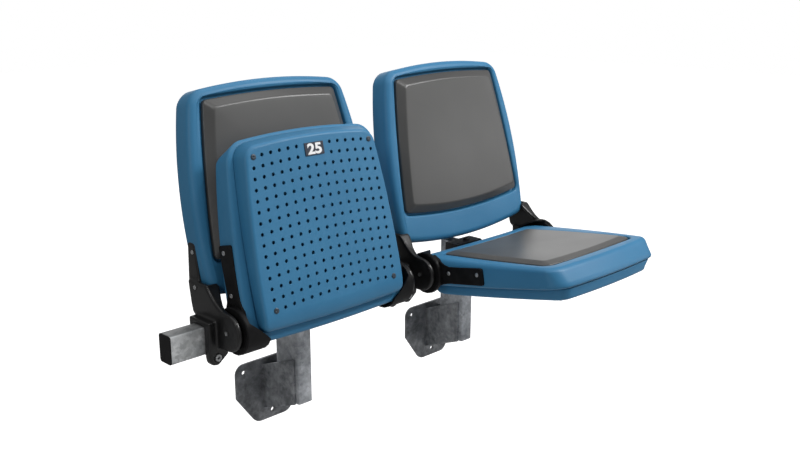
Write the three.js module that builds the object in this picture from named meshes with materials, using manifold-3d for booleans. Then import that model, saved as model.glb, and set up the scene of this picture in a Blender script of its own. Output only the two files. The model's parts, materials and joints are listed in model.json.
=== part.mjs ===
// A two-place row of tip-up stadium seats on a wall-bracketed beam, left seat up and right seat down.
// Millimetres, +Z up, -Y towards the front. The origin is the middle of the left wall plate's rear face.
import * as THREE from "three";
import { mergeVertices } from "three/addons/utils/BufferGeometryUtils.js";
import Module from "manifold-3d";

// The row. The hinges, arms and clamps stand beside the seat, and their widths set the seats' pitch.
const seatedGap = 0.3;
const cutOverrun = 5;
const seatRearHalf = 218;
const drumStandsOut = 14;
const drumOuter = seatRearHalf + drumStandsOut;
const armClearance = 4;
const armThickness = 12;
const armInner = drumOuter + armClearance;
const armOuter = armInner + armThickness;
const clampHalfWidth = 19;
const clampOuter = armOuter + clampHalfWidth;
const clampInner = armOuter - clampHalfWidth;
const clampSpacing = 16;
const seatPitch = 2 * clampOuter + clampSpacing;
const beamEndRun = 76;
const beamOverhang = clampOuter + beamEndRun;

// Beam and its end caps
const beamDepth = 40;
const beamHeight = 60;
const beamWall = 3;
const beamCorner = 5;
const capFace = 2.5;
const capPlug = 16;

// Posts, saddle clamps and wall brackets
const postWidth = 40;
const postDepth = 80;
const postWall = 3;
const postNotch = 27;
const postFoot = 226;
const postHead = 40;
const saddleHalfLength = 58;
const saddleThickness = 20;
const saddleSlant = 24;
const plateBehindBeam = 125;
const plateThickness = 6;
const plateHalfWidth = 100;
const plateTop = -148;
const plateShoulder = -229;
const plateBottom = -303;
const cheekThickness = 5;

// Arms: the casting at each side of a seat
const hubRadius = 40;
const pivotForward = 72;
const pivotHeight = 26;
const clampWall = 12;
const clampReach = 18;
const lugDrop = 52;
const lugInset = 8;
const lugInner = clampInner - lugInset;
const clampScrewRadius = 4;
const strapSetBack = 8;
const strapThickness = 9;
const strapOuter = armOuter - strapSetBack;
const strapInner = strapOuter - strapThickness;

// Swing of the seat, and its hinge
const downAngle = 10;
const upAngle = 103;
const drumRadius = 50;
const drumLength = 58;
const drumEndDepth = 27;
const drumInner = drumOuter - drumLength;
const drumEndMiddle = drumOuter - drumEndDepth;
const pinRadius = 7;
const bushWall = 3;

// Seat: upper shell, perforated pan and pad, measured from the pivot
const seatFront = 368;
const seatRear = 33;
const seatFrontHalf = 192;
const seatWall = 4;
const seatRim = 36;
const seatTaper = 22;
const seatSeam = -33;
const panUnderside = -61;
const panFrontHalf = 171;
const panRearInset = 25;
const panRearHalf = seatRearHalf - panRearInset;
const panFront = 356;
const panRear = 12;
const panWall = 3;

// Back: shell, rear panel and pad, measured up its leaning front plane
const backLean = 13;
const backForward = 5;
const backHeight = 95;
const backTop = 402;
const backBottom = -8;
const backTopHalf = 200;
const backBottomHalf = strapInner;
const backDepth = 54;
const backWall = 4;

const colours = {
  galvanised: new THREE.Color(0x8f9598),
  blackCasting: new THREE.Color(0x1c1c1d),
  blackPlastic: new THREE.Color(0x242424),
  blueShell: new THREE.Color(0x3f76a5),
  graphitePad: new THREE.Color(0x5c5b5a),
  zincScrew: new THREE.Color(0xa8abad),
  steelPin: new THREE.Color(0x8a8d90),
};

function material(color, roughness, metalness) {
  return new THREE.MeshStandardMaterial({ color, roughness, metalness });
}

const galvanised = () => material(colours.galvanised, 0.5, 0.9);
const blackCasting = () => material(colours.blackCasting, 0.35, 0);
const blackPlastic = () => material(colours.blackPlastic, 0.45, 0);
const blueShell = () => material(colours.blueShell, 0.42, 0);
const graphitePad = () => material(colours.graphitePad, 0.5, 0);
const zincScrew = () => material(colours.zincScrew, 0.35, 1);
const steelPin = () => material(colours.steelPin, 0.3, 1);

const wasm = await Module();
wasm.setup();

// Solids from closed geometries, and back.
function solidOf(geometry) {
  const bare = geometry.index ? geometry.toNonIndexed() : geometry.clone();
  bare.deleteAttribute("normal");
  bare.deleteAttribute("uv");
  const merged = mergeVertices(bare);
  const vertProperties = merged.attributes.position.array;
  const triVerts = new Uint32Array(merged.index.array);
  return new wasm.Manifold(new wasm.Mesh({ numProp: 3, vertProperties, triVerts }));
}

function geometryOf(solid) {
  const mesh = solid.getMesh();
  const geometry = new THREE.BufferGeometry();
  geometry.setAttribute("position", new THREE.BufferAttribute(mesh.vertProperties, mesh.numProp));
  geometry.setIndex(new THREE.BufferAttribute(mesh.triVerts, 1));
  geometry.computeVertexNormals();
  return geometry;
}

function piece(name, solid, look) {
  const mesh = new THREE.Mesh(geometryOf(solid), look);
  mesh.name = name;
  return mesh;
}

const joined = (first, ...others) => others.reduce((sum, other) => sum.add(other), first);
const cutBy = (first, ...others) => others.reduce((rest, other) => rest.subtract(other), first);

// Profiles drawn in (y, z) and pushed along X, or drawn in (x, z) and pushed along Y.
const axisX = new THREE.Vector3(1, 0, 0);
const axisY = new THREE.Vector3(0, 1, 0);
const axisZ = new THREE.Vector3(0, 0, 1);
const yzToX = new THREE.Matrix4().makeBasis(axisY, axisZ, axisX);
const xzToY = new THREE.Matrix4().makeBasis(axisX, axisZ, axisY.clone().negate());

function bevelled(depth, bevel, curveSegments) {
  const bevelEnabled = bevel > 0;
  return {
    depth: depth - 2 * bevel,
    curveSegments,
    bevelEnabled,
    bevelThickness: bevel,
    bevelSize: bevel,
    bevelOffset: -bevel,
    bevelSegments: 1,
  };
}

function alongX(shape, from, to, bevel = 0, curveSegments = 6) {
  const geometry = new THREE.ExtrudeGeometry(shape, bevelled(to - from, bevel, curveSegments));
  return solidOf(geometry.translate(0, 0, from + bevel).applyMatrix4(yzToX));
}

function alongY(shape, from, to, bevel = 0, curveSegments = 6) {
  const geometry = new THREE.ExtrudeGeometry(shape, bevelled(to - from, bevel, curveSegments));
  return solidOf(geometry.translate(0, 0, bevel - to).applyMatrix4(xzToY));
}

function boxBetween(low, high) {
  const size = high.clone().sub(low);
  const middle = high.clone().add(low).multiplyScalar(1 / 2);
  const geometry = new THREE.BoxGeometry(size.x, size.y, size.z);
  return solidOf(geometry.translate(middle.x, middle.y, middle.z));
}

// A turned piece: its profile is a list of [radius, distance along the axis] from the axis to the axis.
function turned(profile, sides, direction) {
  const points = profile.map(([radius, along]) => new THREE.Vector2(radius, along));
  const geometry = new THREE.LatheGeometry(points, sides);
  const turn = new THREE.Quaternion().setFromUnitVectors(axisY, direction);
  return solidOf(geometry.applyQuaternion(turn));
}

function rod(radius, from, to, sides, direction) {
  return turned([[0, from], [radius, from], [radius, to], [0, to]], sides, direction);
}

// A rectangle with round corners, as a Shape or as a hole in one.
function roundedRect(path, left, bottom, right, top, corner) {
  path.moveTo(left + corner, bottom);
  path.lineTo(right - corner, bottom);
  path.absarc(right - corner, bottom + corner, corner, -Math.PI / 2, 0, false);
  path.lineTo(right, top - corner);
  path.absarc(right - corner, top - corner, corner, 0, Math.PI / 2, false);
  path.lineTo(left + corner, top);
  path.absarc(left + corner, top - corner, corner, Math.PI / 2, Math.PI, false);
  path.lineTo(left, bottom + corner);
  path.absarc(left + corner, bottom + corner, corner, Math.PI, (3 * Math.PI) / 2, false);
  return path;
}

function polygon(corners) {
  return new THREE.Shape(corners.map(([across, up]) => new THREE.Vector2(across, up)));
}

// A rounded quadrilateral with bowed sides, anticlockwise, as points.
// near and far are its two crossing edges; each bow is how far that edge's middle stands out.
const arcHandleShare = 0.5523;

function bowedOutline(sizes, sideSteps, cornerSteps) {
  const { near, far, nearHalf, farHalf, nearBow, farBow, sideBow, nearCorner, farCorner } = sizes;
  const corners = [
    new THREE.Vector2(-nearHalf, near),
    new THREE.Vector2(nearHalf, near),
    new THREE.Vector2(farHalf, far),
    new THREE.Vector2(-farHalf, far),
  ];
  const bows = [nearBow, sideBow, farBow, sideBow];
  const rounds = [nearCorner, nearCorner, farCorner, farCorner];
  const sides = corners.map((from, i) => {
    const to = corners[(i + 1) % corners.length];
    const run = to.clone().sub(from);
    const outward = new THREE.Vector2(run.y, -run.x).normalize();
    const control = from.clone().add(to).multiplyScalar(1 / 2).addScaledVector(outward, 2 * bows[i]);
    return { curve: new THREE.QuadraticBezierCurve(from, control, to), length: run.length() };
  });
  const points = [];
  sides.forEach(({ curve, length }, i) => {
    const nextCorner = (i + 1) % corners.length;
    const start = rounds[i] / length;
    const end = 1 - rounds[nextCorner] / length;
    for (let step = 0; step < sideSteps; step++) {
      points.push(curve.getPoint(start + ((end - start) * step) / sideSteps));
    }
    const next = sides[nextCorner];
    const leave = curve.getPoint(end);
    const arrive = next.curve.getPoint(rounds[nextCorner] / next.length);
    const reach = rounds[nextCorner] * arcHandleShare;
    const leaveHandle = leave.clone().addScaledVector(curve.getTangent(end), reach);
    const arriveTangent = next.curve.getTangent(rounds[nextCorner] / next.length);
    const arriveHandle = arrive.clone().addScaledVector(arriveTangent, -reach);
    const turn = new THREE.CubicBezierCurve(leave, leaveHandle, arriveHandle, arrive);
    for (let step = 0; step < cornerSteps; step++) points.push(turn.getPoint(step / cornerSteps));
  });
  return points;
}

// The outline drawn in by a distance along its own normals.
function drawnIn(outline, distance) {
  return outline.map((point, i) => {
    const before = outline[(i + outline.length - 1) % outline.length];
    const after = outline[(i + 1) % outline.length];
    const run = after.clone().sub(before).normalize();
    return new THREE.Vector2(point.x - run.y * distance, point.y + run.x * distance);
  });
}

// A closed solid through rings of one outline. Each ring has an inset and a level, and place puts a
// point (across, along, level) into space.
function loft(outline, rings, place) {
  const count = outline.length;
  const positions = [];
  rings.forEach(({ inset, level, share = 1 }) => {
    const ring = drawnIn(outline, inset);
    const middle = ring.reduce((sum, p) => sum.add(p), new THREE.Vector2()).divideScalar(count);
    ring.forEach((point) => {
      const drawn = point.clone().sub(middle).multiplyScalar(share).add(middle);
      positions.push(...place(drawn.x, drawn.y, level).toArray());
    });
  });
  const index = [];
  for (let ring = 0; ring + 1 < rings.length; ring++) {
    for (let i = 0; i < count; i++) {
      const next = (i + 1) % count;
      const low = ring * count;
      const high = low + count;
      index.push(low + i, low + next, high + next, low + i, high + next, high + i);
    }
  }
  const caps = THREE.ShapeUtils.triangulateShape(outline, []);
  const last = (rings.length - 1) * count;
  caps.forEach(([a, b, c]) => index.push(c, b, a, last + a, last + b, last + c));
  const geometry = new THREE.BufferGeometry();
  geometry.setAttribute("position", new THREE.Float32BufferAttribute(positions, 3));
  geometry.setIndex(index);
  return solidOf(geometry);
}

// Rings of a quarter turn from a side up into a face, or from a face below up into a side.
function sideToFace(radius, level, steps, inset = 0) {
  return Array.from({ length: steps + 1 }, (_, step) => {
    const angle = ((step / steps) * Math.PI) / 2;
    const drawn = inset + radius * (1 - Math.cos(angle));
    return { inset: drawn, level: level - radius * (1 - Math.sin(angle)) };
  });
}

function faceToSide(radius, level, steps, inset = 0) {
  return Array.from({ length: steps + 1 }, (_, step) => {
    const angle = ((step / steps) * Math.PI) / 2;
    const drawn = inset + radius * (1 - Math.sin(angle));
    return { inset: drawn, level: level + radius * (1 - Math.cos(angle)) };
  });
}

const halfBeamDepth = beamDepth / 2;
const halfBeamHeight = beamHeight / 2;

// Beam: a galvanised rectangular tube under both seats.
function beam() {
  const outer = roundedRect(
    new THREE.Shape(), -halfBeamDepth, -halfBeamHeight, halfBeamDepth, halfBeamHeight, beamCorner,
  );
  const inside = beamCorner - beamWall;
  const bore = roundedRect(
    new THREE.Path(),
    beamWall - halfBeamDepth, beamWall - halfBeamHeight,
    halfBeamDepth - beamWall, halfBeamHeight - beamWall, inside,
  );
  outer.holes.push(bore);
  const tube = alongX(outer, -beamOverhang, seatPitch + beamOverhang, 0, 1);
  return cutBy(tube, saddleBoltHole(), saddleBoltHole().translate([seatPitch, 0, 0]));
}

// End cap: a flat face as large as the tube, on a hollow plug that grips its bore.
function beamCap() {
  const face = roundedRect(
    new THREE.Shape(), -halfBeamDepth, -halfBeamHeight, halfBeamDepth, halfBeamHeight, beamCorner,
  );
  const plugDepth = halfBeamDepth - beamWall - seatedGap;
  const plugHeight = halfBeamHeight - beamWall - seatedGap;
  const plugCorner = beamCorner - beamWall;
  const plug = roundedRect(new THREE.Shape(), -plugDepth, -plugHeight, plugDepth, plugHeight, plugCorner);
  const hollow = roundedRect(
    new THREE.Path(),
    beamWall - plugDepth, beamWall - plugHeight, plugDepth - beamWall, plugHeight - beamWall, plugCorner,
  );
  plug.holes.push(hollow);
  const insert = alongX(plug, 0, capPlug, 0, 1);
  return joined(alongX(face, -capFace, 0, 0, 1), insert);
}

// Post: a tube notched at its head, so that the beam rests on its front and leans on its back.
function post() {
  const front = postNotch - halfBeamDepth;
  const section = new THREE.Shape();
  const half = postWidth / 2;
  const corner = beamCorner;
  roundedRect(section, -half, 0, half, postDepth, corner);
  const bore = roundedRect(
    new THREE.Path(),
    postWall - half, postWall, half - postWall, postDepth - postWall, corner - postWall,
  );
  section.holes.push(bore);
  const tube = new THREE.ExtrudeGeometry(section, bevelled(postFoot + postHead, 0, 1));
  tube.translate(0, halfBeamDepth - postNotch, -postFoot);
  const notch = boxBetween(
    new THREE.Vector3(-postWidth, -front - postNotch, -halfBeamHeight),
    new THREE.Vector3(postWidth, halfBeamDepth, postHead + cutOverrun),
  );
  return cutBy(solidOf(tube), notch);
}

// Saddle clamp: a bar over the beam before the post's head, one end square and one slanted, with a
// bolt down into the beam.
const saddleBoltRadius = 5;
const saddleBoltHead = 9;
const saddleBoltHeadHeight = 5;
const saddleBoltReach = 28;
const boltSides = 12;
const boreSides = 8;

function saddleClamp() {
  const top = halfBeamHeight + saddleThickness;
  const profile = polygon([
    [-saddleHalfLength, halfBeamHeight],
    [saddleHalfLength, halfBeamHeight],
    [saddleHalfLength - saddleSlant, top],
    [-saddleHalfLength, top],
  ]);
  return cutBy(alongY(profile, -halfBeamDepth, halfBeamDepth - seatedGap), saddleBoltHole());
}

function saddleBoltHole() {
  const radius = saddleBoltRadius + seatedGap;
  return rod(radius, 0, halfBeamHeight + 2 * saddleThickness, boltSides, axisZ);
}

function saddleBolt() {
  const seat = halfBeamHeight + saddleThickness;
  return turned([
    [0, seat - saddleBoltReach],
    [saddleBoltRadius, seat - saddleBoltReach],
    [saddleBoltRadius, seat],
    [saddleBoltHead, seat],
    [saddleBoltHead, seat + saddleBoltHeadHeight / 2],
    [saddleBoltHead - saddleBoltHeadHeight / 2, seat + saddleBoltHeadHeight],
    [0, seat + saddleBoltHeadHeight],
  ], boltSides, axisZ);
}

// Wall bracket: a plate with three anchor holes and two cheeks that take the post between them.
const anchorHole = 5.5;
const anchorSide = 78;
const anchorUpper = -168.5;
const anchorLower = -284;
const plateCorner = 24;
const plateFootHalf = 47;
const plateFootCorner = 14;
const cheekRearTop = -162.6;
const cheekHeight = 109;
const cheekRise = 44;
const postStandsProud = 11;

function wallPlate() {
  const shape = new THREE.Shape();
  const shoulderRun = plateHalfWidth - plateFootHalf;
  const shoulderDrop = plateShoulder - plateBottom;
  const slant = plateFootCorner / Math.hypot(shoulderRun, shoulderDrop);
  const footX = plateFootHalf + shoulderRun * slant;
  const footZ = plateBottom + shoulderDrop * slant;
  shape.moveTo(-plateHalfWidth, plateShoulder);
  shape.lineTo(-footX, footZ);
  shape.quadraticCurveTo(-plateFootHalf, plateBottom, plateFootCorner - plateFootHalf, plateBottom);
  shape.lineTo(plateFootHalf - plateFootCorner, plateBottom);
  shape.quadraticCurveTo(plateFootHalf, plateBottom, footX, footZ);
  shape.lineTo(plateHalfWidth, plateShoulder);
  shape.lineTo(plateHalfWidth, plateTop - plateCorner);
  const corner = plateHalfWidth - plateCorner;
  shape.absarc(corner, plateTop - plateCorner, plateCorner, 0, Math.PI / 2, false);
  shape.lineTo(-corner, plateTop);
  shape.absarc(-corner, plateTop - plateCorner, plateCorner, Math.PI / 2, Math.PI, false);
  [[-anchorSide, anchorUpper], [anchorSide, anchorUpper], [0, anchorLower]].forEach(([x, z]) => {
    shape.holes.push(new THREE.Path().absarc(x, z, anchorHole, 0, 2 * Math.PI, true));
  });
  return alongY(shape, plateBehindBeam - plateThickness, plateBehindBeam, 0, 4);
}

function cheek(side) {
  const rear = plateBehindBeam - plateThickness;
  const front = halfBeamDepth - postNotch + postStandsProud;
  const profile = polygon([
    [rear, cheekRearTop],
    [rear, cheekRearTop - cheekHeight],
    [front, cheekRearTop - cheekHeight + cheekRise],
    [front, cheekRearTop + cheekRise],
  ]);
  const inner = (side * postWidth) / 2;
  const outer = side * (postWidth / 2 + cheekThickness);
  return alongX(profile, Math.min(inner, outer), Math.max(inner, outer));
}

function wallBracket() {
  return joined(wallPlate(), cheek(-1), cheek(1));
}

// Arm of the left side, a casting in four parts: side plate with the hub, front flange, strap up the
// back's side, and the hook over the beam. The right-hand arm is its mirror image.
const armEdge = 2;
const plateRearFoot = 48;
const plateRearKnee = 53;
const plateKneeHeight = 62;
const plateRearShoulder = 58;
const plateShoulderHeight = 94;
const plateRearHead = 60;
const flangeTop = 110;
const flangeTopForward = 5;
const flangeThickness = 6;
const flangeReach = 31;
const flangeInner = armOuter - flangeReach;
const flangeCorner = 8;
const flangeLeave = 32;
const flangeArrive = 20;
const flangeDraw = 6;
const flangeSteps = 6;
const strapTop = 187;
const strapFoot = 80;
const strapFrontAtTop = 39;
const strapRearAtTop = 66;
const strapFrontAtFoot = 25;
const strapRearAtFoot = 70;
const strapCorner = 7;
const clampTop = halfBeamHeight + clampWall;
const clampFront = halfBeamDepth + clampReach;
const hookRear = halfBeamDepth + clampWall;
const hookDrop = 8;
const lugRound = 18;
const lugShoulder = 16;
const lugHaunch = 33;
const lugFootWidth = 21;
const lugFootInner = clampOuter - lugFootWidth;
const clampScrewDrop = 35;
const clampScrewSide = (clampOuter + clampInner) / 2;
const clampScrewHead = 7.5;
const clampScrewHeadHeight = 6;
const clampScrewSocket = 3.5;
const clampScrewRecess = 4;
const jawThickness = 5;
const jawHalf = 10;
const jawDrop = 50;
const pinNeckRadius = 3;
const pinHeadRadius = 4.5;
const pinHeadHeight = 1.7;
const pinBoreWall = 5;
const stopRadius = 30;
const stopPegRadius = 4;
const stopPegReach = 7;
const strapScrewRadius = 2.4;
const strapScrewHead = 5;
const strapScrewHeadHeight = 2.5;
const strapScrewLength = 22;
const screwSides = 6;
const lowerStrapScrew = { rear: 32, up: 98, face: armOuter };
const upperStrapScrew = { rear: 47, up: 168, face: strapOuter };

// The flange's front line, from the hub's top up to the back's lower corner, and lines set behind it.
function flangeLine(behind) {
  const hubTop = new THREE.Vector2(-pivotForward, pivotHeight + hubRadius - behind);
  const head = new THREE.Vector2(behind - flangeTopForward, flangeTop - behind);
  const leave = hubTop.clone().add(new THREE.Vector2(flangeLeave, 0));
  const arrive = head.clone().sub(new THREE.Vector2(flangeArrive, flangeArrive));
  return new THREE.CubicBezierCurve(hubTop, leave, arrive, head).getPoints(flangeSteps);
}

function sidePlate() {
  const shape = new THREE.Shape();
  const knee = -halfBeamHeight / 2;
  shape.moveTo(plateRearHead, flangeTop);
  flangeLine(0).reverse().forEach((point) => shape.lineTo(point.x, point.y));
  shape.absarc(-pivotForward, pivotHeight, hubRadius, Math.PI / 2, (3 * Math.PI) / 2, false);
  shape.quadraticCurveTo(-clampFront - hubRadius / 3, pivotHeight - hubRadius, -clampFront, knee);
  shape.lineTo(-halfBeamDepth, knee);
  shape.lineTo(-halfBeamDepth, halfBeamHeight);
  shape.lineTo(hookRear, halfBeamHeight);
  shape.lineTo(plateRearFoot, clampTop);
  shape.lineTo(plateRearKnee, plateKneeHeight);
  shape.lineTo(plateRearShoulder, plateShoulderHeight);
  return alongX(shape, -armOuter, -armInner, armEdge, 6);
}

function strapShape(clearance) {
  const top = strapTop + clearance;
  const foot = strapFoot - clearance;
  const rear = strapRearAtTop + clearance;
  const front = strapFrontAtTop - clearance;
  const shape = new THREE.Shape();
  shape.moveTo(strapFrontAtFoot - clearance, foot);
  shape.lineTo(strapRearAtFoot + clearance, foot);
  shape.lineTo(rear, top - strapCorner);
  shape.quadraticCurveTo(rear, top, rear - strapCorner, top);
  shape.lineTo(front + strapCorner, top);
  shape.quadraticCurveTo(front, top, front, top - strapCorner);
  return shape;
}

// Where the back's leaning front plane stands at a height.
function backFront(height) {
  return (height - backHeight) * Math.tan(degrees(backLean)) - backForward;
}

function flange() {
  const side = new THREE.Shape();
  const hubTop = pivotHeight + hubRadius;
  side.moveTo(-pivotForward, hubTop - flangeThickness);
  flangeLine(flangeThickness).slice(1).forEach((point) => side.lineTo(point.x, point.y));
  side.lineTo(flangeThickness, flangeTop);
  flangeLine(0).reverse().forEach((point) => side.lineTo(point.x, point.y));
  const front = new THREE.Shape();
  front.moveTo(-armOuter, hubTop - 2 * flangeThickness);
  front.lineTo(-armInner, hubTop - 2 * flangeThickness);
  front.lineTo(-armInner, hubTop);
  front.quadraticCurveTo(
    -flangeInner - flangeDraw, (hubTop + flangeTop) / 2, -flangeInner, flangeTop - flangeCorner,
  );
  front.quadraticCurveTo(-flangeInner, flangeTop, -flangeInner - flangeCorner, flangeTop);
  front.lineTo(-armOuter, flangeTop);
  const ribbon = alongX(side, armEdge - armOuter, -flangeInner);
  const back = alongX(polygon([
    [backFront(hubTop) - seatedGap, hubTop],
    [backDepth, hubTop],
    [backDepth, flangeTop + cutOverrun],
    [backFront(flangeTop + cutOverrun) - seatedGap, flangeTop + cutOverrun],
  ]), -armInner, 0);
  return cutBy(ribbon.intersect(alongY(front, -pivotForward - hubRadius, hubRadius, 0, 4)), back);
}

function hook() {
  const section = polygon([
    [-clampFront, clampTop],
    [-clampFront, -lugDrop],
    [-halfBeamDepth, -lugDrop],
    [-halfBeamDepth, halfBeamHeight],
    [halfBeamDepth, halfBeamHeight],
    [halfBeamDepth, hookDrop],
    [hookRear, hookDrop],
    [hookRear, clampTop],
  ]);
  const front = new THREE.Shape();
  front.moveTo(-clampOuter, clampTop);
  front.lineTo(-clampOuter, lugRound - lugDrop);
  front.quadraticCurveTo(-clampOuter, -lugDrop, lugRound - clampOuter, -lugDrop);
  front.lineTo(-lugFootInner, -lugDrop);
  front.lineTo(-lugInner, -lugHaunch);
  front.lineTo(-lugInner, -lugShoulder);
  front.lineTo(-clampInner, -lugShoulder);
  front.lineTo(-clampInner, clampTop);
  const swing = boxBetween(
    new THREE.Vector3(-armInner, -clampFront - cutOverrun, -lugShoulder),
    new THREE.Vector3(cutOverrun - lugInner, -halfBeamDepth, clampTop + cutOverrun),
  );
  const block = alongX(section, -clampOuter, -lugInner);
  return cutBy(block.intersect(alongY(front, -clampFront, hookRear, 0, 4)), swing);
}

function acrossRod(radius, inner, outer, y, z, sides) {
  return rod(radius, inner, outer, sides, axisX.clone().negate()).translate([0, y, z]);
}

function clampScrewPath(radius, from, to, sides) {
  return rod(radius, from, to, sides, axisY).translate([-clampScrewSide, 0, -clampScrewDrop]);
}

function arm() {
  const strap = alongX(strapShape(0), -strapOuter, -strapInner, armEdge / 2);
  const peg = acrossRod(
    stopPegRadius, armInner - stopPegReach, armInner + armEdge,
    -pivotForward, pivotHeight - stopRadius, boreSides,
  );
  const body = joined(sidePlate(), strap, flange(), hook(), peg);
  const through = armOuter + cutOverrun;
  const pinBore = acrossRod(
    pinRadius + seatedGap, 0, armOuter - pinBoreWall, -pivotForward, pivotHeight, boltSides,
  );
  const neckBore = acrossRod(pinNeckRadius + seatedGap, 0, through, -pivotForward, pivotHeight, boreSides);
  const recess = clampScrewPath(
    clampScrewHead + seatedGap, -clampFront - cutOverrun, clampScrewRecess - clampFront, boltSides,
  );
  const screwBore = clampScrewPath(clampScrewRadius + seatedGap, -clampFront, 0, boreSides);
  const strapBores = [lowerStrapScrew, upperStrapScrew].map(({ rear, up }) =>
    acrossRod(strapScrewRadius + seatedGap, 0, through, rear, up, screwSides));
  return cutBy(body, pinBore, neckBore, recess, screwBore, ...strapBores);
}

// Jaw: a bent plate behind and under the beam, drawn forward by the clamp screw in its front tab.
function jaw() {
  const under = halfBeamHeight + jawThickness;
  const tab = seatedGap - halfBeamDepth;
  const section = polygon([
    [halfBeamDepth, hookDrop - 2 * seatedGap],
    [halfBeamDepth, -halfBeamHeight],
    [tab, -halfBeamHeight],
    [tab, -jawDrop],
    [tab + jawThickness, -jawDrop],
    [tab + jawThickness, -under],
    [halfBeamDepth + jawThickness, -under],
    [halfBeamDepth + jawThickness, hookDrop - 2 * seatedGap],
  ]);
  const body = alongX(section, -clampScrewSide - jawHalf, jawHalf - clampScrewSide);
  return cutBy(body, clampScrewPath(clampScrewRadius + seatedGap, -clampFront, 0, boreSides));
}

function clampScrew() {
  const seat = clampScrewRecess - clampFront - seatedGap;
  const face = seat - clampScrewHeadHeight;
  const tip = 2 * jawThickness - halfBeamDepth;
  return turned([
    [0, face + clampScrewRecess],
    [clampScrewSocket, face + clampScrewRecess],
    [clampScrewSocket, face],
    [clampScrewHead, face],
    [clampScrewHead, seat],
    [clampScrewRadius, seat],
    [clampScrewRadius, tip],
    [0, tip],
  ], boltSides, axisY).translate([-clampScrewSide, 0, -clampScrewDrop]);
}

function strapScrew({ rear, up, face }) {
  const seat = face + seatedGap;
  return turned([
    [0, face - strapScrewLength],
    [strapScrewRadius, face - strapScrewLength],
    [strapScrewRadius, seat],
    [strapScrewHead, seat],
    [strapScrewHead, seat + strapScrewHeadHeight / 2],
    [strapScrewHead - strapScrewHeadHeight / 2, seat + strapScrewHeadHeight],
    [0, seat + strapScrewHeadHeight],
  ], screwSides, axisX.clone().negate()).translate([0, rear, up]);
}

// Pivot: a pin held in the arm's hub by its own screwed neck, in a flanged bush that turns with the seat.
const bushLength = 32;
const bushInner = drumOuter - bushLength;
const bushFlange = 3;

function pivotPin() {
  const shoulder = armOuter - pinBoreWall - seatedGap;
  return turned([
    [0, bushInner],
    [pinRadius, bushInner],
    [pinRadius, shoulder],
    [pinNeckRadius, shoulder],
    [pinNeckRadius, armOuter + seatedGap],
    [pinHeadRadius, armOuter + seatedGap],
    [pinHeadRadius, armOuter + pinHeadHeight],
    [0, armOuter + pinHeadHeight],
  ], boltSides, axisX.clone().negate()).translate([0, -pivotForward, pivotHeight]);
}

function bush() {
  const bore = pinRadius + seatedGap;
  const outer = bore + bushWall;
  const face = drumOuter + seatedGap;
  const end = armInner - seatedGap;
  return turned([
    [bore, bushInner],
    [outer, bushInner],
    [outer, face],
    [outer + bushFlange, face],
    [outer + bushFlange, end],
    [bore, end],
    [bore, bushInner],
  ], boltSides, axisX.clone().negate());
}

// Hinge bracket: a drum round the bush with a stop slot in its face, and a strap up the seat's side. The
// drum's wall is cut off obliquely inside the seat's corner, so it reaches furthest in at the rear.
const drumSides = 20;
const drumWall = 4;
const drumWeb = 10;
const drumEdge = 2;
const drumBoss = 16;
const drumEndSlope = 1.1;
const slotDepth = 4;
const hingeStrapLength = 172;
const hingeStrapOver = 15;
const hingeStrapUnder = 25;
const hingeStrapSetBack = 10;
const hingeStrapThickness = 9;
const hingeStrapOuter = drumOuter - hingeStrapSetBack;
const hingeStrapInner = hingeStrapOuter - hingeStrapThickness;
const hingeStrapRootShare = 0.42;
const hingeStrapRise = 42;
const hingeStrapHeel = 38;
const hingeStrapHeelDrop = 31;
const hingeStrapCorner = 6;
const hingeScrewRadius = 2.8;
const hingeScrewPlaces = [70, 157];

function degrees(angle) {
  return (angle * Math.PI) / 180;
}

// The slot in which the arm's peg runs, as the peg sees it from the seat's lowest to its highest place.
function stopSlot() {
  const half = stopPegRadius + seatedGap;
  const spare = (half + seatedGap) / stopRadius;
  const from = degrees(downAngle - 90) - spare;
  const to = degrees(upAngle - 90) + spare;
  const shape = new THREE.Shape();
  shape.absarc(0, 0, stopRadius + half, from, to, false);
  shape.absarc(0, 0, stopRadius - half, to, from, true);
  return alongX(shape, -drumOuter - cutOverrun, slotDepth - drumOuter, 0, 4);
}

function hingeStrapShape(clearance) {
  const over = hingeStrapOver + clearance;
  const under = hingeStrapUnder + clearance;
  const end = -hingeStrapLength - clearance;
  const root = -hingeStrapLength * hingeStrapRootShare;
  const shape = new THREE.Shape();
  shape.moveTo(-drumRadius / 2, hingeStrapRise);
  shape.quadraticCurveTo(root / 2 - drumRadius / 2, over, root, over);
  shape.lineTo(end + hingeStrapCorner, over);
  shape.quadraticCurveTo(end, over, end, over - hingeStrapCorner);
  shape.lineTo(end, hingeStrapCorner - under);
  shape.quadraticCurveTo(end, -under, end + hingeStrapCorner, -under);
  shape.lineTo(root, -under);
  shape.quadraticCurveTo((root - hingeStrapHeel) / 2, -under, -hingeStrapHeel, -hingeStrapHeelDrop);
  shape.lineTo(-drumRadius / 2, -hingeStrapHeelDrop);
  return shape;
}

// The left drum or its bay, cut off by the drum's oblique end moved inwards by a clearance.
function endedObliquely(solid, clearance) {
  const outward = new THREE.Vector3(-1, drumEndSlope, 0);
  return solid.trimByPlane(outward.toArray(), drumEndMiddle / outward.length() - clearance);
}

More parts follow.
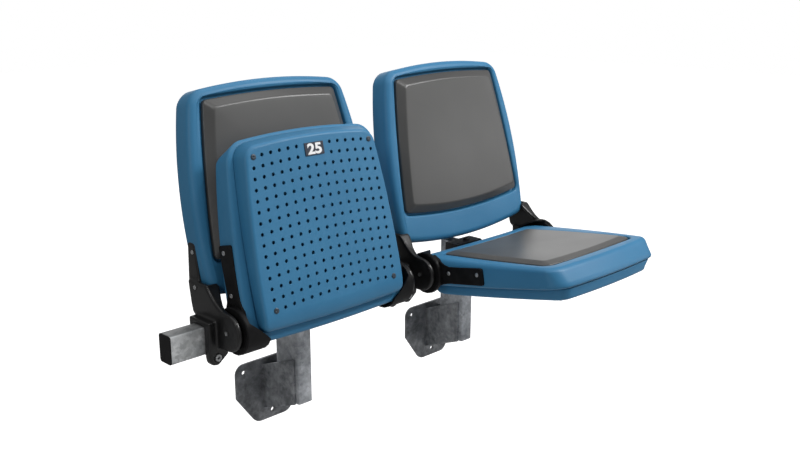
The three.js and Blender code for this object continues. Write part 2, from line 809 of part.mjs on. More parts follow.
function hingeBracket() {
  const bore = pinRadius + bushWall + 2 * seatedGap;
  const web = drumOuter - drumWeb;
  const wall = turned([
    [drumRadius - drumWall, drumInner],
    [drumRadius, drumInner],
    [drumRadius, web + drumEdge],
    [drumRadius - drumWall, web + drumEdge],
    [drumRadius - drumWall, drumInner],
  ], drumSides, axisX.clone().negate());
  const hub = turned([
    [bore, bushInner],
    [drumBoss, bushInner],
    [drumBoss, web],
    [drumRadius, web],
    [drumRadius, drumOuter - drumEdge],
    [drumRadius - drumEdge, drumOuter],
    [bore, drumOuter],
    [bore, bushInner],
  ], drumSides, axisX.clone().negate());
  const strap = alongX(hingeStrapShape(0), -hingeStrapOuter, -hingeStrapInner, armEdge / 2, 3);
  const holes = hingeScrewPlaces.map((place) =>
    acrossRod(hingeScrewRadius, 0, drumOuter, -place, 0, screwSides));
  return cutBy(joined(endedObliquely(wall, 0), hub, strap), stopSlot(), ...holes);
}

// Seat. Its points are (x, y, z) from the pivot with the seat level; its rim sinks towards the front,
// its rear edge is dished, and its front face leans back from the lower edge up to the rim.
const seatSideSteps = 3;
const seatCornerSteps = 3;
const crownShares = [0.66, 0.33];
const seatEdge = 14;
const seatLipEdge = 10;
const seatLip = 27;
const seatDish = 5;
const seatLean = 24;
const seatLeanFrom = 327;
const seatPocketFloor = 26;
const padClear = 1.5;
const panClear = 0.6;
const panTop = seatSeam + seatWall;
const panEdge = 8;
const bossRadius = 6;
const frontScrewInset = 16.5;
const rearScrewInset = 29.5;
const cornerScrews = [
  { side: panFrontHalf - frontScrewInset, ahead: 335 },
  { side: panRearHalf - rearScrewInset, ahead: 27 },
];
const ribHeight = 12;
const ribThickness = 3;
const ribPlaceShares = [-0.3, 0, 0.3];

const seatEdges = {
  near: -seatFront, far: seatRear, nearHalf: seatFrontHalf, farHalf: seatRearHalf,
  nearBow: 12, farBow: 6, sideBow: 11, nearCorner: 36, farCorner: 35,
};
const panEdges = {
  near: -panFront, far: panRear, nearHalf: panFrontHalf, farHalf: panRearHalf,
  nearBow: 10, farBow: 4, sideBow: 8, nearCorner: 26, farCorner: 16,
};
const seatPadRearInset = 53;
const seatPadEdges = {
  near: -319, far: 2, nearHalf: 171, farHalf: seatRearHalf - seatPadRearInset,
  nearBow: 8, farBow: 4, sideBow: 6, nearCorner: 20, farCorner: 18,
};
const seatOutline = bowedOutline(seatEdges, seatSideSteps, seatCornerSteps);
const panOutline = bowedOutline(panEdges, seatSideSteps, seatCornerSteps);
const seatPadOutline = bowedOutline(seatPadEdges, seatSideSteps, seatCornerSteps);

function seatPlace(x, y, level) {
  const taperShare = Math.max(0, (level - seatSeam) / (seatRim - seatSeam));
  const dishShare = Math.max(0, (level - seatPocketFloor) / (seatRim - seatPocketFloor));
  const ahead = -y / seatFront;
  const dish = seatDish * (1 - (x / seatRearHalf) ** 2) * (1 - ahead);
  const lowerEdge = seatSeam + seatLipEdge;
  const leanShare = Math.max(0, (level - lowerEdge) / (seatRim - lowerEdge));
  const frontShare = Math.max(0, (-y - seatLeanFrom) / (seatFront + seatEdges.nearBow - seatLeanFrom));
  const leaned = y + seatLean * leanShare * frontShare;
  return new THREE.Vector3(x, leaned, level - taperShare * seatTaper * ahead - dishShare * dish);
}

function seatShell() {
  const outer = loft(seatOutline, [
    { inset: seatLip, level: seatSeam },
    ...faceToSide(seatLipEdge, seatSeam, 2),
    ...sideToFace(seatEdge, seatRim, 2),
    ...crownShares.map((share) => ({ inset: seatEdge, level: seatRim, share })),
  ], seatPlace);
  const cavity = loft(seatOutline, [
    { inset: 2 * seatWall, level: seatSeam + seatWall },
    { inset: seatWall, level: seatSeam + seatLipEdge },
    { inset: seatWall, level: seatPocketFloor - seatWall },
  ], seatPlace);
  const pocket = loft(seatPadOutline, [
    { inset: -padClear, level: seatPocketFloor },
    { inset: -padClear, level: seatRim + cutOverrun },
  ], seatPlace);
  const opening = loft(panOutline, [
    { inset: -panClear, level: seatSeam - cutOverrun },
    { inset: -panClear, level: seatSeam + seatWall + panClear },
  ], flatPlace);
  const hollow = cutBy(outer, cavity, opening);
  const inside = joined(...ribs(), ...bosses(), sideBlock(-1), sideBlock(1)).intersect(outer);
  const shell = cutBy(joined(hollow, inside), pocket);
  const bays = [-1, 1].flatMap((side) => [drumBay(side), strapBay(side)]);
  return cutBy(shell, ...bays);
}

function seatHeight(level, y) {
  return seatPlace(0, y, level).z;
}

function ribs() {
  const floor = seatPocketFloor - seatWall / 2;
  const front = -seatFront + 2 * seatLip;
  const rear = -seatLip;
  const section = polygon([
    [front, seatHeight(floor, front)],
    [rear, seatHeight(floor, rear)],
    [rear, seatHeight(floor, rear) - ribHeight],
    [front, seatHeight(floor, front) - ribHeight],
  ]);
  return ribPlaceShares.map((share) => {
    const x = share * 2 * seatFrontHalf;
    return alongX(section, x - ribThickness / 2, x + ribThickness / 2);
  });
}

function bosses() {
  const foot = panUnderside + panWall + seatedGap;
  return cornerScrews.flatMap(({ side, ahead }) => {
    const head = seatPlace(side, -ahead, seatPocketFloor - seatWall / 4).z;
    return [-side, side].map((x) =>
      rod(bossRadius, foot, head, boreSides, axisZ).translate([x, -ahead, 0]));
  });
}

function sideBlock(side) {
  const over = hingeStrapOver + ribThickness;
  const under = hingeStrapUnder + ribThickness;
  const inner = hingeStrapInner - 2 * seatWall;
  const outer = hingeStrapInner + seatWall;
  return boxBetween(
    new THREE.Vector3(Math.min(side * inner, side * outer), -hingeStrapLength - ribThickness, -under),
    new THREE.Vector3(Math.max(side * inner, side * outer), -drumRadius, over),
  );
}

function drumBay(side) {
  const radius = drumRadius + panClear;
  const web = drumOuter - drumWeb - panClear;
  const direction = axisX.clone().negate();
  const cut = joined(
    endedObliquely(rod(radius, drumInner - cutOverrun, drumOuter, drumSides, direction), panClear),
    rod(radius, web, drumOuter, drumSides, direction),
    rod(drumBoss + panClear, bushInner - panClear, drumOuter, drumSides, direction),
  );
  return side < 0 ? cut : cut.mirror([1, 0, 0]);
}

function strapBay(side) {
  const inner = side * (hingeStrapInner - seatedGap);
  const outer = side * drumOuter;
  return alongX(hingeStrapShape(2 * seatedGap), Math.min(inner, outer), Math.max(inner, outer), 0, 3);
}

// Pan: the tray that closes the seat from below.
function flatPlace(x, y, level) {
  return new THREE.Vector3(x, y, level);
}

function seatPan() {
  const outer = loft(panOutline, [
    ...faceToSide(panEdge, panUnderside, 2),
    { inset: 0, level: panTop },
  ], flatPlace);
  const inner = loft(panOutline, [
    ...faceToSide(panEdge - panWall, panUnderside + panWall, 2, panWall),
    { inset: panWall, level: panTop + cutOverrun },
  ], flatPlace);
  return cutBy(outer, inner, drumBay(-1), drumBay(1));
}

// Pads: a rolled border round a crowned face.
const padBorder = 20;
const padShoulder = 4;
const padShoulderShare = 0.55;
const padCrown = 1.5;
const padFoot = 2;
const seatPadRise = 8;
const backPadRise = 11;

function pad(outline, floor, rim, rise, place) {
  const crown = rim + rise;
  return loft(outline, [
    { inset: padFoot, level: floor + seatedGap },
    { inset: 0, level: (floor + rim) / 2 },
    { inset: padShoulder / 2, level: rim },
    { inset: 2 * padShoulder, level: rim + rise * padShoulderShare },
    { inset: padBorder, level: crown },
    ...crownShares.map((share) => ({
      inset: padBorder, level: crown + padCrown * (1 - share ** 2), share,
    })),
  ], place);
}

function seatPad() {
  return pad(seatPadOutline, seatPocketFloor, seatRim, seatPadRise, seatPlace);
}

const numberPlateWidth = 50;
const numberPlateHeight = 27;
const numberPlateThickness = 1.5;
const numberPlateAhead = 333;

function numberPlate() {
  const face = panUnderside - seatedGap;
  const half = numberPlateWidth / 2;
  const front = -numberPlateAhead - numberPlateHeight / 2;
  return boxBetween(
    new THREE.Vector3(-half, front, face - numberPlateThickness),
    new THREE.Vector3(half, front + numberPlateHeight, face),
  );
}

// Back. Its points are (x, up the front plane, out of the front plane), leaned back as it stands.
const backEdge = 15;
const backRearEdge = 2.5;
const backPocketDepth = 7;
const backPanelThickness = 3;
const backPanelInset = 2;

const backEdges = {
  near: backBottom, far: backTop, nearHalf: backBottomHalf, farHalf: backTopHalf,
  nearBow: 21, farBow: 15, sideBow: 20, nearCorner: 22, farCorner: 29,
};
const backPadSideInset = 17;
const backPadEdges = {
  near: 57, far: 386, nearHalf: backBottomHalf - backPadSideInset, farHalf: 178,
  nearBow: 16, farBow: 7, sideBow: 5, nearCorner: 13, farCorner: 13,
};
const backOutline = bowedOutline(backEdges, seatSideSteps, seatCornerSteps);
const backPadOutline = bowedOutline(backPadEdges, seatSideSteps, seatCornerSteps);

const leanTurn = new THREE.Matrix4()
  .makeTranslation(0, -backForward, backHeight)
  .multiply(new THREE.Matrix4().makeRotationX(-degrees(backLean)));

function backPlace(x, up, level) {
  return new THREE.Vector3(x, -level, up).applyMatrix4(leanTurn);
}

function backShell() {
  const outer = loft(backOutline, [
    ...faceToSide(backRearEdge, -backDepth, 1),
    ...sideToFace(backEdge, 0, 2),
  ], backPlace);
  const skin = -backPocketDepth - backWall;
  const cavity = loft(backOutline, [
    { inset: backWall, level: -backDepth - cutOverrun },
    { inset: backWall, level: skin },
  ], backPlace);
  const pocket = loft(backPadOutline, [
    { inset: -padClear, level: -backPocketDepth },
    { inset: -padClear, level: cutOverrun },
  ], backPlace);
  const panelBay = loft(backOutline, [
    { inset: backWall, level: -backDepth - cutOverrun },
    { inset: backWall, level: backPanelInset + backPanelThickness + seatedGap - backDepth },
  ], backPlace);
  const blocks = joined(strapBlock(-1), strapBlock(1)).intersect(outer);
  const whole = joined(cutBy(outer, cavity), cutBy(blocks, panelBay));
  const shell = cutBy(whole, pocket, strapPocket(-1), strapPocket(1));
  const bores = [lowerStrapScrew, upperStrapScrew].flatMap(({ rear, up }) =>
    [-1, 1].map((side) => {
      const direction = axisX.clone().multiplyScalar(side);
      const bore = rod(strapScrewRadius + seatedGap, 0, armOuter, screwSides, direction);
      return bore.translate([0, rear, up]);
    }));
  return cutBy(shell, ...bores);
}

function strapBlock(side) {
  const inner = side * (strapInner - 3 * backWall);
  const outer = side * (strapInner + backWall);
  return alongX(strapShape(backWall), Math.min(inner, outer), Math.max(inner, outer));
}

function strapPocket(side) {
  const inner = side * (strapInner - seatedGap);
  const outer = side * (armOuter + cutOverrun);
  return alongX(strapShape(2 * seatedGap), Math.min(inner, outer), Math.max(inner, outer));
}

function backPanel() {
  const inset = backWall + seatedGap;
  const rear = backPanelInset - backDepth;
  const panel = loft(backOutline, [
    { inset, level: rear },
    { inset, level: rear + backPanelThickness },
  ], backPlace);
  return cutBy(panel, strapPocket(-1), strapPocket(1));
}

function backPad() {
  return pad(backPadOutline, -backPocketDepth, 0, backPadRise, backPlace);
}

// The row put together.
const row = new THREE.Group();
row.position.set(0, -plateBehindBeam, (plateTop + plateBottom) / -2);

function both(name, solid, look) {
  const left = piece(name + "_left", solid, look());
  const right = piece(name + "_right", solid, look());
  right.scale.x = -1;
  return [left, right];
}

function seatUnit(name, x, angle, numbered) {
  const unit = new THREE.Group();
  unit.position.x = x;
  const swing = new THREE.Group();
  swing.position.set(0, -pivotForward, pivotHeight);
  swing.rotation.x = -degrees(angle);
  unit.add(
    ...both(name + "_arm", arm(), blackCasting),
    ...both(name + "_clamp_jaw", jaw(), blackCasting),
    ...both(name + "_clamp_screw", clampScrew(), zincScrew),
    ...both(name + "_pivot_pin", pivotPin(), steelPin),
    ...both(name + "_lower_strap_screw", strapScrew(lowerStrapScrew), zincScrew),
    ...both(name + "_upper_strap_screw", strapScrew(upperStrapScrew), zincScrew),
    piece(name + "_back_shell", backShell(), blueShell()),
    piece(name + "_back_panel", backPanel(), blueShell()),
    piece(name + "_back_pad", backPad(), graphitePad()),
    swing,
  );
  swing.add(
    ...both(name + "_hinge_bracket", hingeBracket(), blackPlastic),
    ...both(name + "_bush", bush(), blackPlastic),
    piece(name + "_shell", seatShell(), blueShell()),
    piece(name + "_pan", seatPan(), blueShell()),
    piece(name + "_pad", seatPad(), graphitePad()),
  );
  if (numbered) swing.add(piece(name + "_number_plate", numberPlate(), blackPlastic()));
  return unit;
}

row.add(piece("beam", beam(), galvanised()));
const leftCap = piece("beam_cap_left", beamCap(), blackPlastic());
leftCap.position.x = -beamOverhang;
const rightCap = piece("beam_cap_right", beamCap(), blackPlastic());
rightCap.scale.x = -1;
rightCap.position.x = seatPitch + beamOverhang;
row.add(leftCap, rightCap);

[["left", 0], ["right", seatPitch]].forEach(([side, x]) => {
  const support = new THREE.Group();
  support.position.x = x;
  support.add(
    piece("post_" + side, post(), galvanised()),
    piece("wall_bracket_" + side, wallBracket(), galvanised()),
    piece("saddle_clamp_" + side, saddleClamp(), blackCasting()),
    piece("saddle_bolt_" + side, saddleBolt(), zincScrew()),
  );
  row.add(support);
});

row.add(seatUnit("left_seat", 0, upAngle, true));
row.add(seatUnit("right_seat", seatPitch, downAngle, false));

export default row;
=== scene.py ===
"""A row of two tip-up stadium seats on a galvanised beam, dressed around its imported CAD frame.
Metres, +Z up, -Y towards the front. The origin is the middle of the left wall plate's rear face."""
import json
import math

import bpy
import numpy as np
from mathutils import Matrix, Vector

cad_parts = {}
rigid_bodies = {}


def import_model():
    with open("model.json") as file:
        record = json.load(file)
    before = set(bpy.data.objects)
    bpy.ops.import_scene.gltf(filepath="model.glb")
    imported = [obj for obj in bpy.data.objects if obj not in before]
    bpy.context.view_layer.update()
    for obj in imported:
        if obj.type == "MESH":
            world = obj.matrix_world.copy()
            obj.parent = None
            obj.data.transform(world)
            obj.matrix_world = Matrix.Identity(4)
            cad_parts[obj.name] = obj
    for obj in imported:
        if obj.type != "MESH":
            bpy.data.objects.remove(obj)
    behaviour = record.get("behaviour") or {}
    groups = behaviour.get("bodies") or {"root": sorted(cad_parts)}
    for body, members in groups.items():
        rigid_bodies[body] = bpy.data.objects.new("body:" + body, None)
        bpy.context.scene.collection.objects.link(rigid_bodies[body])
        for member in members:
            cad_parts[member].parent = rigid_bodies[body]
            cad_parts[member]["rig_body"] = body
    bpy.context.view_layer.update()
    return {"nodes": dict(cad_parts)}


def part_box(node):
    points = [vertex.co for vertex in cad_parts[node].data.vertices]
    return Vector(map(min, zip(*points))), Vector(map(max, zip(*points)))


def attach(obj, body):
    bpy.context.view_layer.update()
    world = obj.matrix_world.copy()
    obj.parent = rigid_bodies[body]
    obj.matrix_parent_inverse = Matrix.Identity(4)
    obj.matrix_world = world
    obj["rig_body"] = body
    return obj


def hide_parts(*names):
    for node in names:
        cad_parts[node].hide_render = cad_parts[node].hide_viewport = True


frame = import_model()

nodes = frame["nodes"]
scene = bpy.context.scene


# Camera: it stands left of the row, a little above the backs, and looks along the seats from the
# front left, as the photograph does.
CAMERA_PLACE = (-1.261, -1.701, 0.9385)
CAMERA_YAW = 44.87
CAMERA_PITCH = 15.19
CAMERA_LENS = 43.16

camera_data = bpy.data.cameras.new("camera")
camera_data.lens = CAMERA_LENS
camera_data.sensor_width = 36.0
camera = bpy.data.objects.new("camera", camera_data)
camera.location = CAMERA_PLACE
camera.rotation_euler = (math.radians(90 - CAMERA_PITCH), 0, math.radians(-CAMERA_YAW))
scene.collection.objects.link(camera)
scene.camera = camera


# Galvanised steel: the beam, the posts and the wall brackets are hot-dip galvanised tube and plate.
# The zinc shows as soft spangles with cloudy grey patches. The brackets get a darker copy of it, painted
# shade, and the beam a lighter one, a painted sheen on its front. Painted shade also darkens the beam's top
# face and the brackets near the wall.
ZINC_LIGHT = (0.53, 0.548, 0.575, 1)
ZINC_DARK = (0.29, 0.305, 0.328, 1)
# Painted shade: the brackets' zinc is a darker copy of the posts' zinc.
BRACKET_SHADED_LIGHT = (0.41, 0.424, 0.446, 1)
BRACKET_SHADED_DARK = (0.18, 0.189, 0.203, 1)
# Painted sheen: the beam's zinc is a lighter copy, which stands in for light on its front face.
BEAM_SHEEN_LIGHT = (0.66, 0.676, 0.680, 1)
BEAM_SHEEN_DARK = (0.40, 0.414, 0.424, 1)
ZINC_SPANGLE = 130.0
ZINC_CLOUD = 22.0
ZINC_SHINY = 0.42
ZINC_DULL = 0.62
BEAM_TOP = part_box("beam")[1].z
# Painted shade on the beam's top face.
BEAM_TOP_SHADE = {"axis": "Z", "start": BEAM_TOP - 0.0015, "full": BEAM_TOP - 0.0003, "kept": 0.40}
# Painted shade on the brackets near the wall.
BRACKET_WALL_SHADE = {"axis": "Y", "start": -0.022, "full": -0.008, "kept": 0.64}
EDGE_ROUND = 0.0006
EDGE_ANGLE = math.radians(32)
FLAT_ANGLE = math.radians(1)
WELD = 0.00001
SIDES = ("left", "right")
SEATS = ("left_seat", "right_seat")

# The sockets of a Mix node that mixes colours.
MIX_A = 6
MIX_B = 7
MIX_RESULT = 2


def new_material(name):
    """A node material: returns the material, its node tree and its Principled shader."""
    made = bpy.data.materials.new(name)
    made.use_nodes = True
    tree = made.node_tree
    return made, tree, tree.nodes["Principled BSDF"]


def object_coordinates(tree):
    """The piece's own place, in metres, as every pattern here reads it."""
    return tree.nodes.new("ShaderNodeTexCoord").outputs["Object"]


def noise(tree, scale, detail=4.0, roughness=0.55):
    """A cloud pattern of a given scale on the piece's own place."""
    node = tree.nodes.new("ShaderNodeTexNoise")
    node.inputs["Scale"].default_value = scale
    node.inputs["Detail"].default_value = detail
    node.inputs["Roughness"].default_value = roughness
    tree.links.new(object_coordinates(tree), node.inputs["Vector"])
    return node.outputs["Fac"]


def grey(level):
    """A neutral colour of one level."""
    return (level, level, level, 1)


def ramp(tree, value, stops):
    """A colour ramp: stops are (place, colour) pairs."""
    node = tree.nodes.new("ShaderNodeValToRGB")
    elements = node.color_ramp.elements
    while len(elements) < len(stops):
        elements.new(1.0)
    for element, (place, colour) in zip(elements, stops):
        element.position = place
        element.color = colour
    tree.links.new(value, node.inputs["Fac"])
    return node.outputs["Color"]


def tinted(tree, shader, pattern, stops):
    """Gives the shader its colour from a pattern: stops are (place, colour) pairs."""
    tree.links.new(ramp(tree, pattern, stops), shader.inputs["Base Color"])


def roughened(tree, shader, pattern, stops):
    """Gives the shader its roughness from a pattern: stops are (place, roughness) pairs."""
    greys = [(place, grey(level)) for place, level in stops]
    tree.links.new(ramp(tree, pattern, greys), shader.inputs["Roughness"])


def cells_of(tree, scale):
    """A pattern of cells of a given scale on the piece's own place: returns its node."""
    node = tree.nodes.new("ShaderNodeTexVoronoi")
    node.inputs["Scale"].default_value = scale
    tree.links.new(object_coordinates(tree), node.inputs["Vector"])
    return node


def bump(tree, shader, height, strength, distance):
    """Small relief from a height pattern, fed to the shader's normal."""
    node = tree.nodes.new("ShaderNodeBump")
    node.inputs["Strength"].default_value = strength
    node.inputs["Distance"].default_value = distance
    tree.links.new(height, node.inputs["Height"])
    tree.links.new(node.outputs["Normal"], shader.inputs["Normal"])


def painted_shade(tree, colour, shade_band):
    """Painted shade: darkens a colour along an axis, fully kept up to the shade's start, and from where the
    shade is full only the share kept, with a straight fade between."""
    place = tree.nodes.new("ShaderNodeSeparateXYZ")
    tree.links.new(object_coordinates(tree), place.inputs["Vector"])
    fade = tree.nodes.new("ShaderNodeMapRange")
    fade.inputs["From Min"].default_value = shade_band["start"]
    fade.inputs["From Max"].default_value = shade_band["full"]
    fade.inputs["To Min"].default_value = 1.0
    fade.inputs["To Max"].default_value = shade_band["kept"]
    tree.links.new(place.outputs[shade_band["axis"]], fade.inputs["Value"])
    darkened = tree.nodes.new("ShaderNodeVectorMath")
    darkened.operation = "SCALE"
    tree.links.new(colour, darkened.inputs["Vector"])
    tree.links.new(fade.outputs["Result"], darkened.inputs["Scale"])
    return darkened.outputs["Vector"]


def zinc_material(name, light, dark, shade_band=None):
    """Spangled zinc: small cells tint the colour one by one, and clouds darken and dull it. Painted shade,
    where it is given, darkens both."""
    made, tree, shader = new_material(name)
    cells = cells_of(tree, ZINC_SPANGLE)
    channels = tree.nodes.new("ShaderNodeSeparateColor")
    tree.links.new(cells.outputs["Color"], channels.inputs["Color"])
    clouds = noise(tree, ZINC_CLOUD, detail=6.0, roughness=0.65)
    product = tree.nodes.new("ShaderNodeMix")
    product.data_type = "RGBA"
    product.blend_type = "MULTIPLY"
    product.inputs["Factor"].default_value = 1.0
    tree.links.new(ramp(tree, clouds, [(0.36, dark), (0.62, light)]), product.inputs[MIX_A])
    spangled = ramp(tree, channels.outputs["Red"], [(0.0, grey(0.80)), (1.0, grey(1.12))])
    tree.links.new(spangled, product.inputs[MIX_B])
    colour = product.outputs[MIX_RESULT]
    if shade_band:
        colour = painted_shade(tree, colour, shade_band)
    tree.links.new(colour, shader.inputs["Base Color"])
    roughened(tree, shader, clouds, [(0.3, ZINC_DULL), (0.7, ZINC_SHINY)])
    shader.inputs["Metallic"].default_value = 0.55
    bump(tree, shader, cells.outputs["Distance"], strength=0.12, distance=0.0006)
    return made


zinc = zinc_material("galvanised_steel", ZINC_LIGHT, ZINC_DARK)
# The brackets and the beam carry painted shade, and the beam also a painted sheen.
bracket_zinc = zinc_material("galvanised_plate", BRACKET_SHADED_LIGHT, BRACKET_SHADED_DARK, BRACKET_WALL_SHADE)
beam_zinc = zinc_material("galvanised_beam", BEAM_SHEEN_LIGHT, BEAM_SHEEN_DARK, BEAM_TOP_SHADE)


def dressed(name, material):
    """Gives a CAD node its material in every slot."""
    node = nodes[name]
    if not node.data.materials:
        node.data.materials.append(material)
    for index in range(len(node.data.materials)):
        node.data.materials[index] = material


def body_of(name):
    """The CAD body that a node belongs to."""
    return nodes[name]["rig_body"]


def softened(name, piece_name, material, width=EDGE_ROUND, segments=2):
    """A copy of a CAD node with its triangles merged and its edges rounded off by a narrow bevel."""
    mesh = nodes[name].data.copy()
    mesh.name = piece_name
    if "custom_normal" in mesh.attributes:
        mesh.attributes.remove(mesh.attributes["custom_normal"])
    mesh.materials.clear()
    mesh.materials.append(material)
    mesh.polygons.foreach_set("use_smooth", np.ones(len(mesh.polygons), bool))
    made = bpy.data.objects.new(piece_name, mesh)
    scene.collection.objects.link(made)
    weld = made.modifiers.new("weld", "WELD")
    weld.merge_threshold = WELD
    flat = made.modifiers.new("flat", "DECIMATE")
    flat.decimate_type = "DISSOLVE"
    flat.angle_limit = FLAT_ANGLE
    edge = made.modifiers.new("edge", "BEVEL")
    edge.width = width
    edge.segments = segments
    edge.limit_method = "ANGLE"
    edge.angle_limit = EDGE_ANGLE
    edge.harden_normals = True
    edge.use_clamp_overlap = True
    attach(made, body_of(name))
    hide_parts(name)
    return made


for side in SIDES:
    softened("post_" + side, "post_tube_" + side, zinc)
    softened("wall_bracket_" + side, "wall_plate_" + side, bracket_zinc)
softened("beam", "beam_tube", beam_zinc)


# Black fittings: coated castings and nylon mouldings with a semi-gloss skin that has a faint orange
# peel and dusty dulled patches.
BLACK = (0.0055, 0.0055, 0.006, 1)
BLACK_WORN = (0.012, 0.012, 0.0125, 1)
PEEL_SCALE = 420.0
SADDLE_ROUND = 0.0012


def black_material(name, roughness, coat, specular):
    """Near-black skin: clouds lighten it a little where it is rubbed, and fine noise gives the peel."""
    made, tree, shader = new_material(name)
    rubbed = noise(tree, 34.0, detail=5.0, roughness=0.6)
    tinted(tree, shader, rubbed, [(0.45, BLACK), (0.75, BLACK_WORN)])
    roughened(tree, shader, rubbed, [(0.35, roughness - 0.05), (0.7, roughness + 0.10)])
    shader.inputs["Specular IOR Level"].default_value = specular
    shader.inputs["Coat Weight"].default_value = coat
    shader.inputs["Coat Roughness"].default_value = 0.22
    bump(tree, shader, noise(tree, PEEL_SCALE, detail=2.0), strength=0.10, distance=0.0004)
    return made


casting_black = black_material("black_casting", roughness=0.38, coat=0.26, specular=0.3)
nylon_black = black_material("black_nylon", roughness=0.48, coat=0.0, specular=0.12)

for side in SIDES:
    softened("beam_cap_" + side, "beam_end_cap_" + side, nylon_black)
    softened("saddle_clamp_" + side, "saddle_bar_" + side, casting_black, SADDLE_ROUND)
    dressed("saddle_bolt_" + side, nylon_black)


# Arms: each seat hangs between two black castings, with a round hub, a flange up to the back's corner,
# a strap screwed to the back's side, and a hook over the beam. Sand casting leaves every edge well
# rounded, which a fine remesh and smoothing give. Nylon straps carry the seat on their drums.
CAST_VOXEL = 0.0015
CAST_SMOOTHING = 34
CAST_PULL = 0.5
STRAP_ROUND = 0.0012
STRAP_SEGMENTS = 3


def cast(name, piece_name, material):
    """A copy of a CAD node remeshed in even steps and smoothed, so that its edges round off."""
    mesh = nodes[name].data.copy()
    mesh.name = piece_name
    mesh.materials.clear()
    made = bpy.data.objects.new(piece_name, mesh)
    scene.collection.objects.link(made)
    weld = made.modifiers.new("weld", "WELD")
    weld.merge_threshold = WELD
    even = made.modifiers.new("even", "REMESH")
    even.mode = "VOXEL"
    even.voxel_size = CAST_VOXEL
    even.use_smooth_shade = True
    soft = made.modifiers.new("soft", "SMOOTH")
    soft.factor = CAST_PULL
    soft.iterations = CAST_SMOOTHING
    baked = bpy.data.meshes.new_from_object(made.evaluated_get(bpy.context.evaluated_depsgraph_get()))
    made.modifiers.clear()
    made.data = baked
    baked.materials.clear()
    baked.materials.append(material)
    baked.polygons.foreach_set("use_smooth", np.ones(len(baked.polygons), bool))
    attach(made, body_of(name))
    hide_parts(name)
    return made


for seat in SEATS:
    for side in SIDES:
        tail = "_" + side
        cast(seat + "_arm" + tail, seat + "_arm_casting" + tail, casting_black)
        softened(seat + "_clamp_jaw" + tail, seat + "_jaw_plate" + tail, casting_black)
        softened(
            seat + "_hinge_bracket" + tail, seat + "_hinge_strap" + tail, nylon_black,
            STRAP_ROUND, STRAP_SEGMENTS,
        )
        dressed(seat + "_bush" + tail, nylon_black)


# Screws and pins: turned steel, zinc-plated, with a dulled bright skin. The clamp screws draw the jaws up
# to the beam and have a socket in a broad ring head.
SCREW_ZINC = (0.52, 0.53, 0.54, 1)
SCREW_DARK = (0.24, 0.245, 0.25, 1)


def plated_material():
    """Plated steel: fine clouds shift its tone and its polish."""
    made, tree, shader = new_material("zinc_screw")
    clouds = noise(tree, 300.0)
    tinted(tree, shader, clouds, [(0.35, SCREW_DARK), (0.65, SCREW_ZINC)])
    shader.inputs["Metallic"].default_value = 0.9
    shader.inputs["Roughness"].default_value = 0.36
    bump(tree, shader, clouds, strength=0.05, distance=0.0002)
    return made


plated = plated_material()
for seat in SEATS:
    for side in SIDES:
        for part in ("_clamp_screw_", "_pivot_pin_", "_lower_strap_screw_", "_upper_strap_screw_"):
            dressed(seat + part + side, plated)


# Back shells: blue polypropylene mouldings with round outer edges and a sunk pocket for the pad. The arms'
# straps are let into their sides and screwed there. The skin is satin with a fine moulded grain.
BLUE = (0.034, 0.168, 0.320, 1)
BLUE_PALE = (0.043, 0.193, 0.357, 1)
BLUE_GRAIN = 1500.0
BLUE_ROUGHNESS = 0.42
BEAM_MIDDLE = np.array([0.0, -0.125, 0.2255])
SEAT_PITCH = 0.55
SEAT_PLACES = {"left_seat": 0.0, "right_seat": SEAT_PITCH}
SIDE_STEPS = 26
CORNER_STEPS = 12
EDGE_STEPS = 9
REAR_STEPS = 3
LIP_STEPS = 5
FACE_RINGS = 3
ARC_HANDLE = 0.5523
TIGHTEST = 0.004

# Outlines, seen square on: near and far are a piece's two ends, the halves its half widths there, a bow is
# how far the middle of an edge stands out, and the corners are radii.
BACK_EDGES = dict(
    near=-0.008, far=0.402, near_half=0.231, far_half=0.200,
    near_bow=0.021, far_bow=0.015, side_bow=0.020, near_corner=0.022, far_corner=0.029,
)
BACK_PAD_EDGES = dict(
    near=0.057, far=0.386, near_half=0.214, far_half=0.178,
    near_bow=0.016, far_bow=0.007, side_bow=0.005, near_corner=0.014, far_corner=0.011,
    tightest=0.009,
)
BACK_LEAN = math.radians(13)
BACK_FOOT = np.array([0.0, -0.005, 0.095])
BACK_DEPTH = 0.054
BACK_WALL = 0.004
BACK_EDGE = 0.015
BACK_REAR_EDGE = 0.004
POCKET_DEPTH = 0.0115
POCKET_LIP = 0.0048
POCKET_CLEAR = 0.0022
POCKET_FLOOR_INSET = 0.004
BACK_SIDE_LEVELS = (-0.040, -0.028)
BACK_SKIN_RUN = 0.010
FACE_BULGE = 0.0006


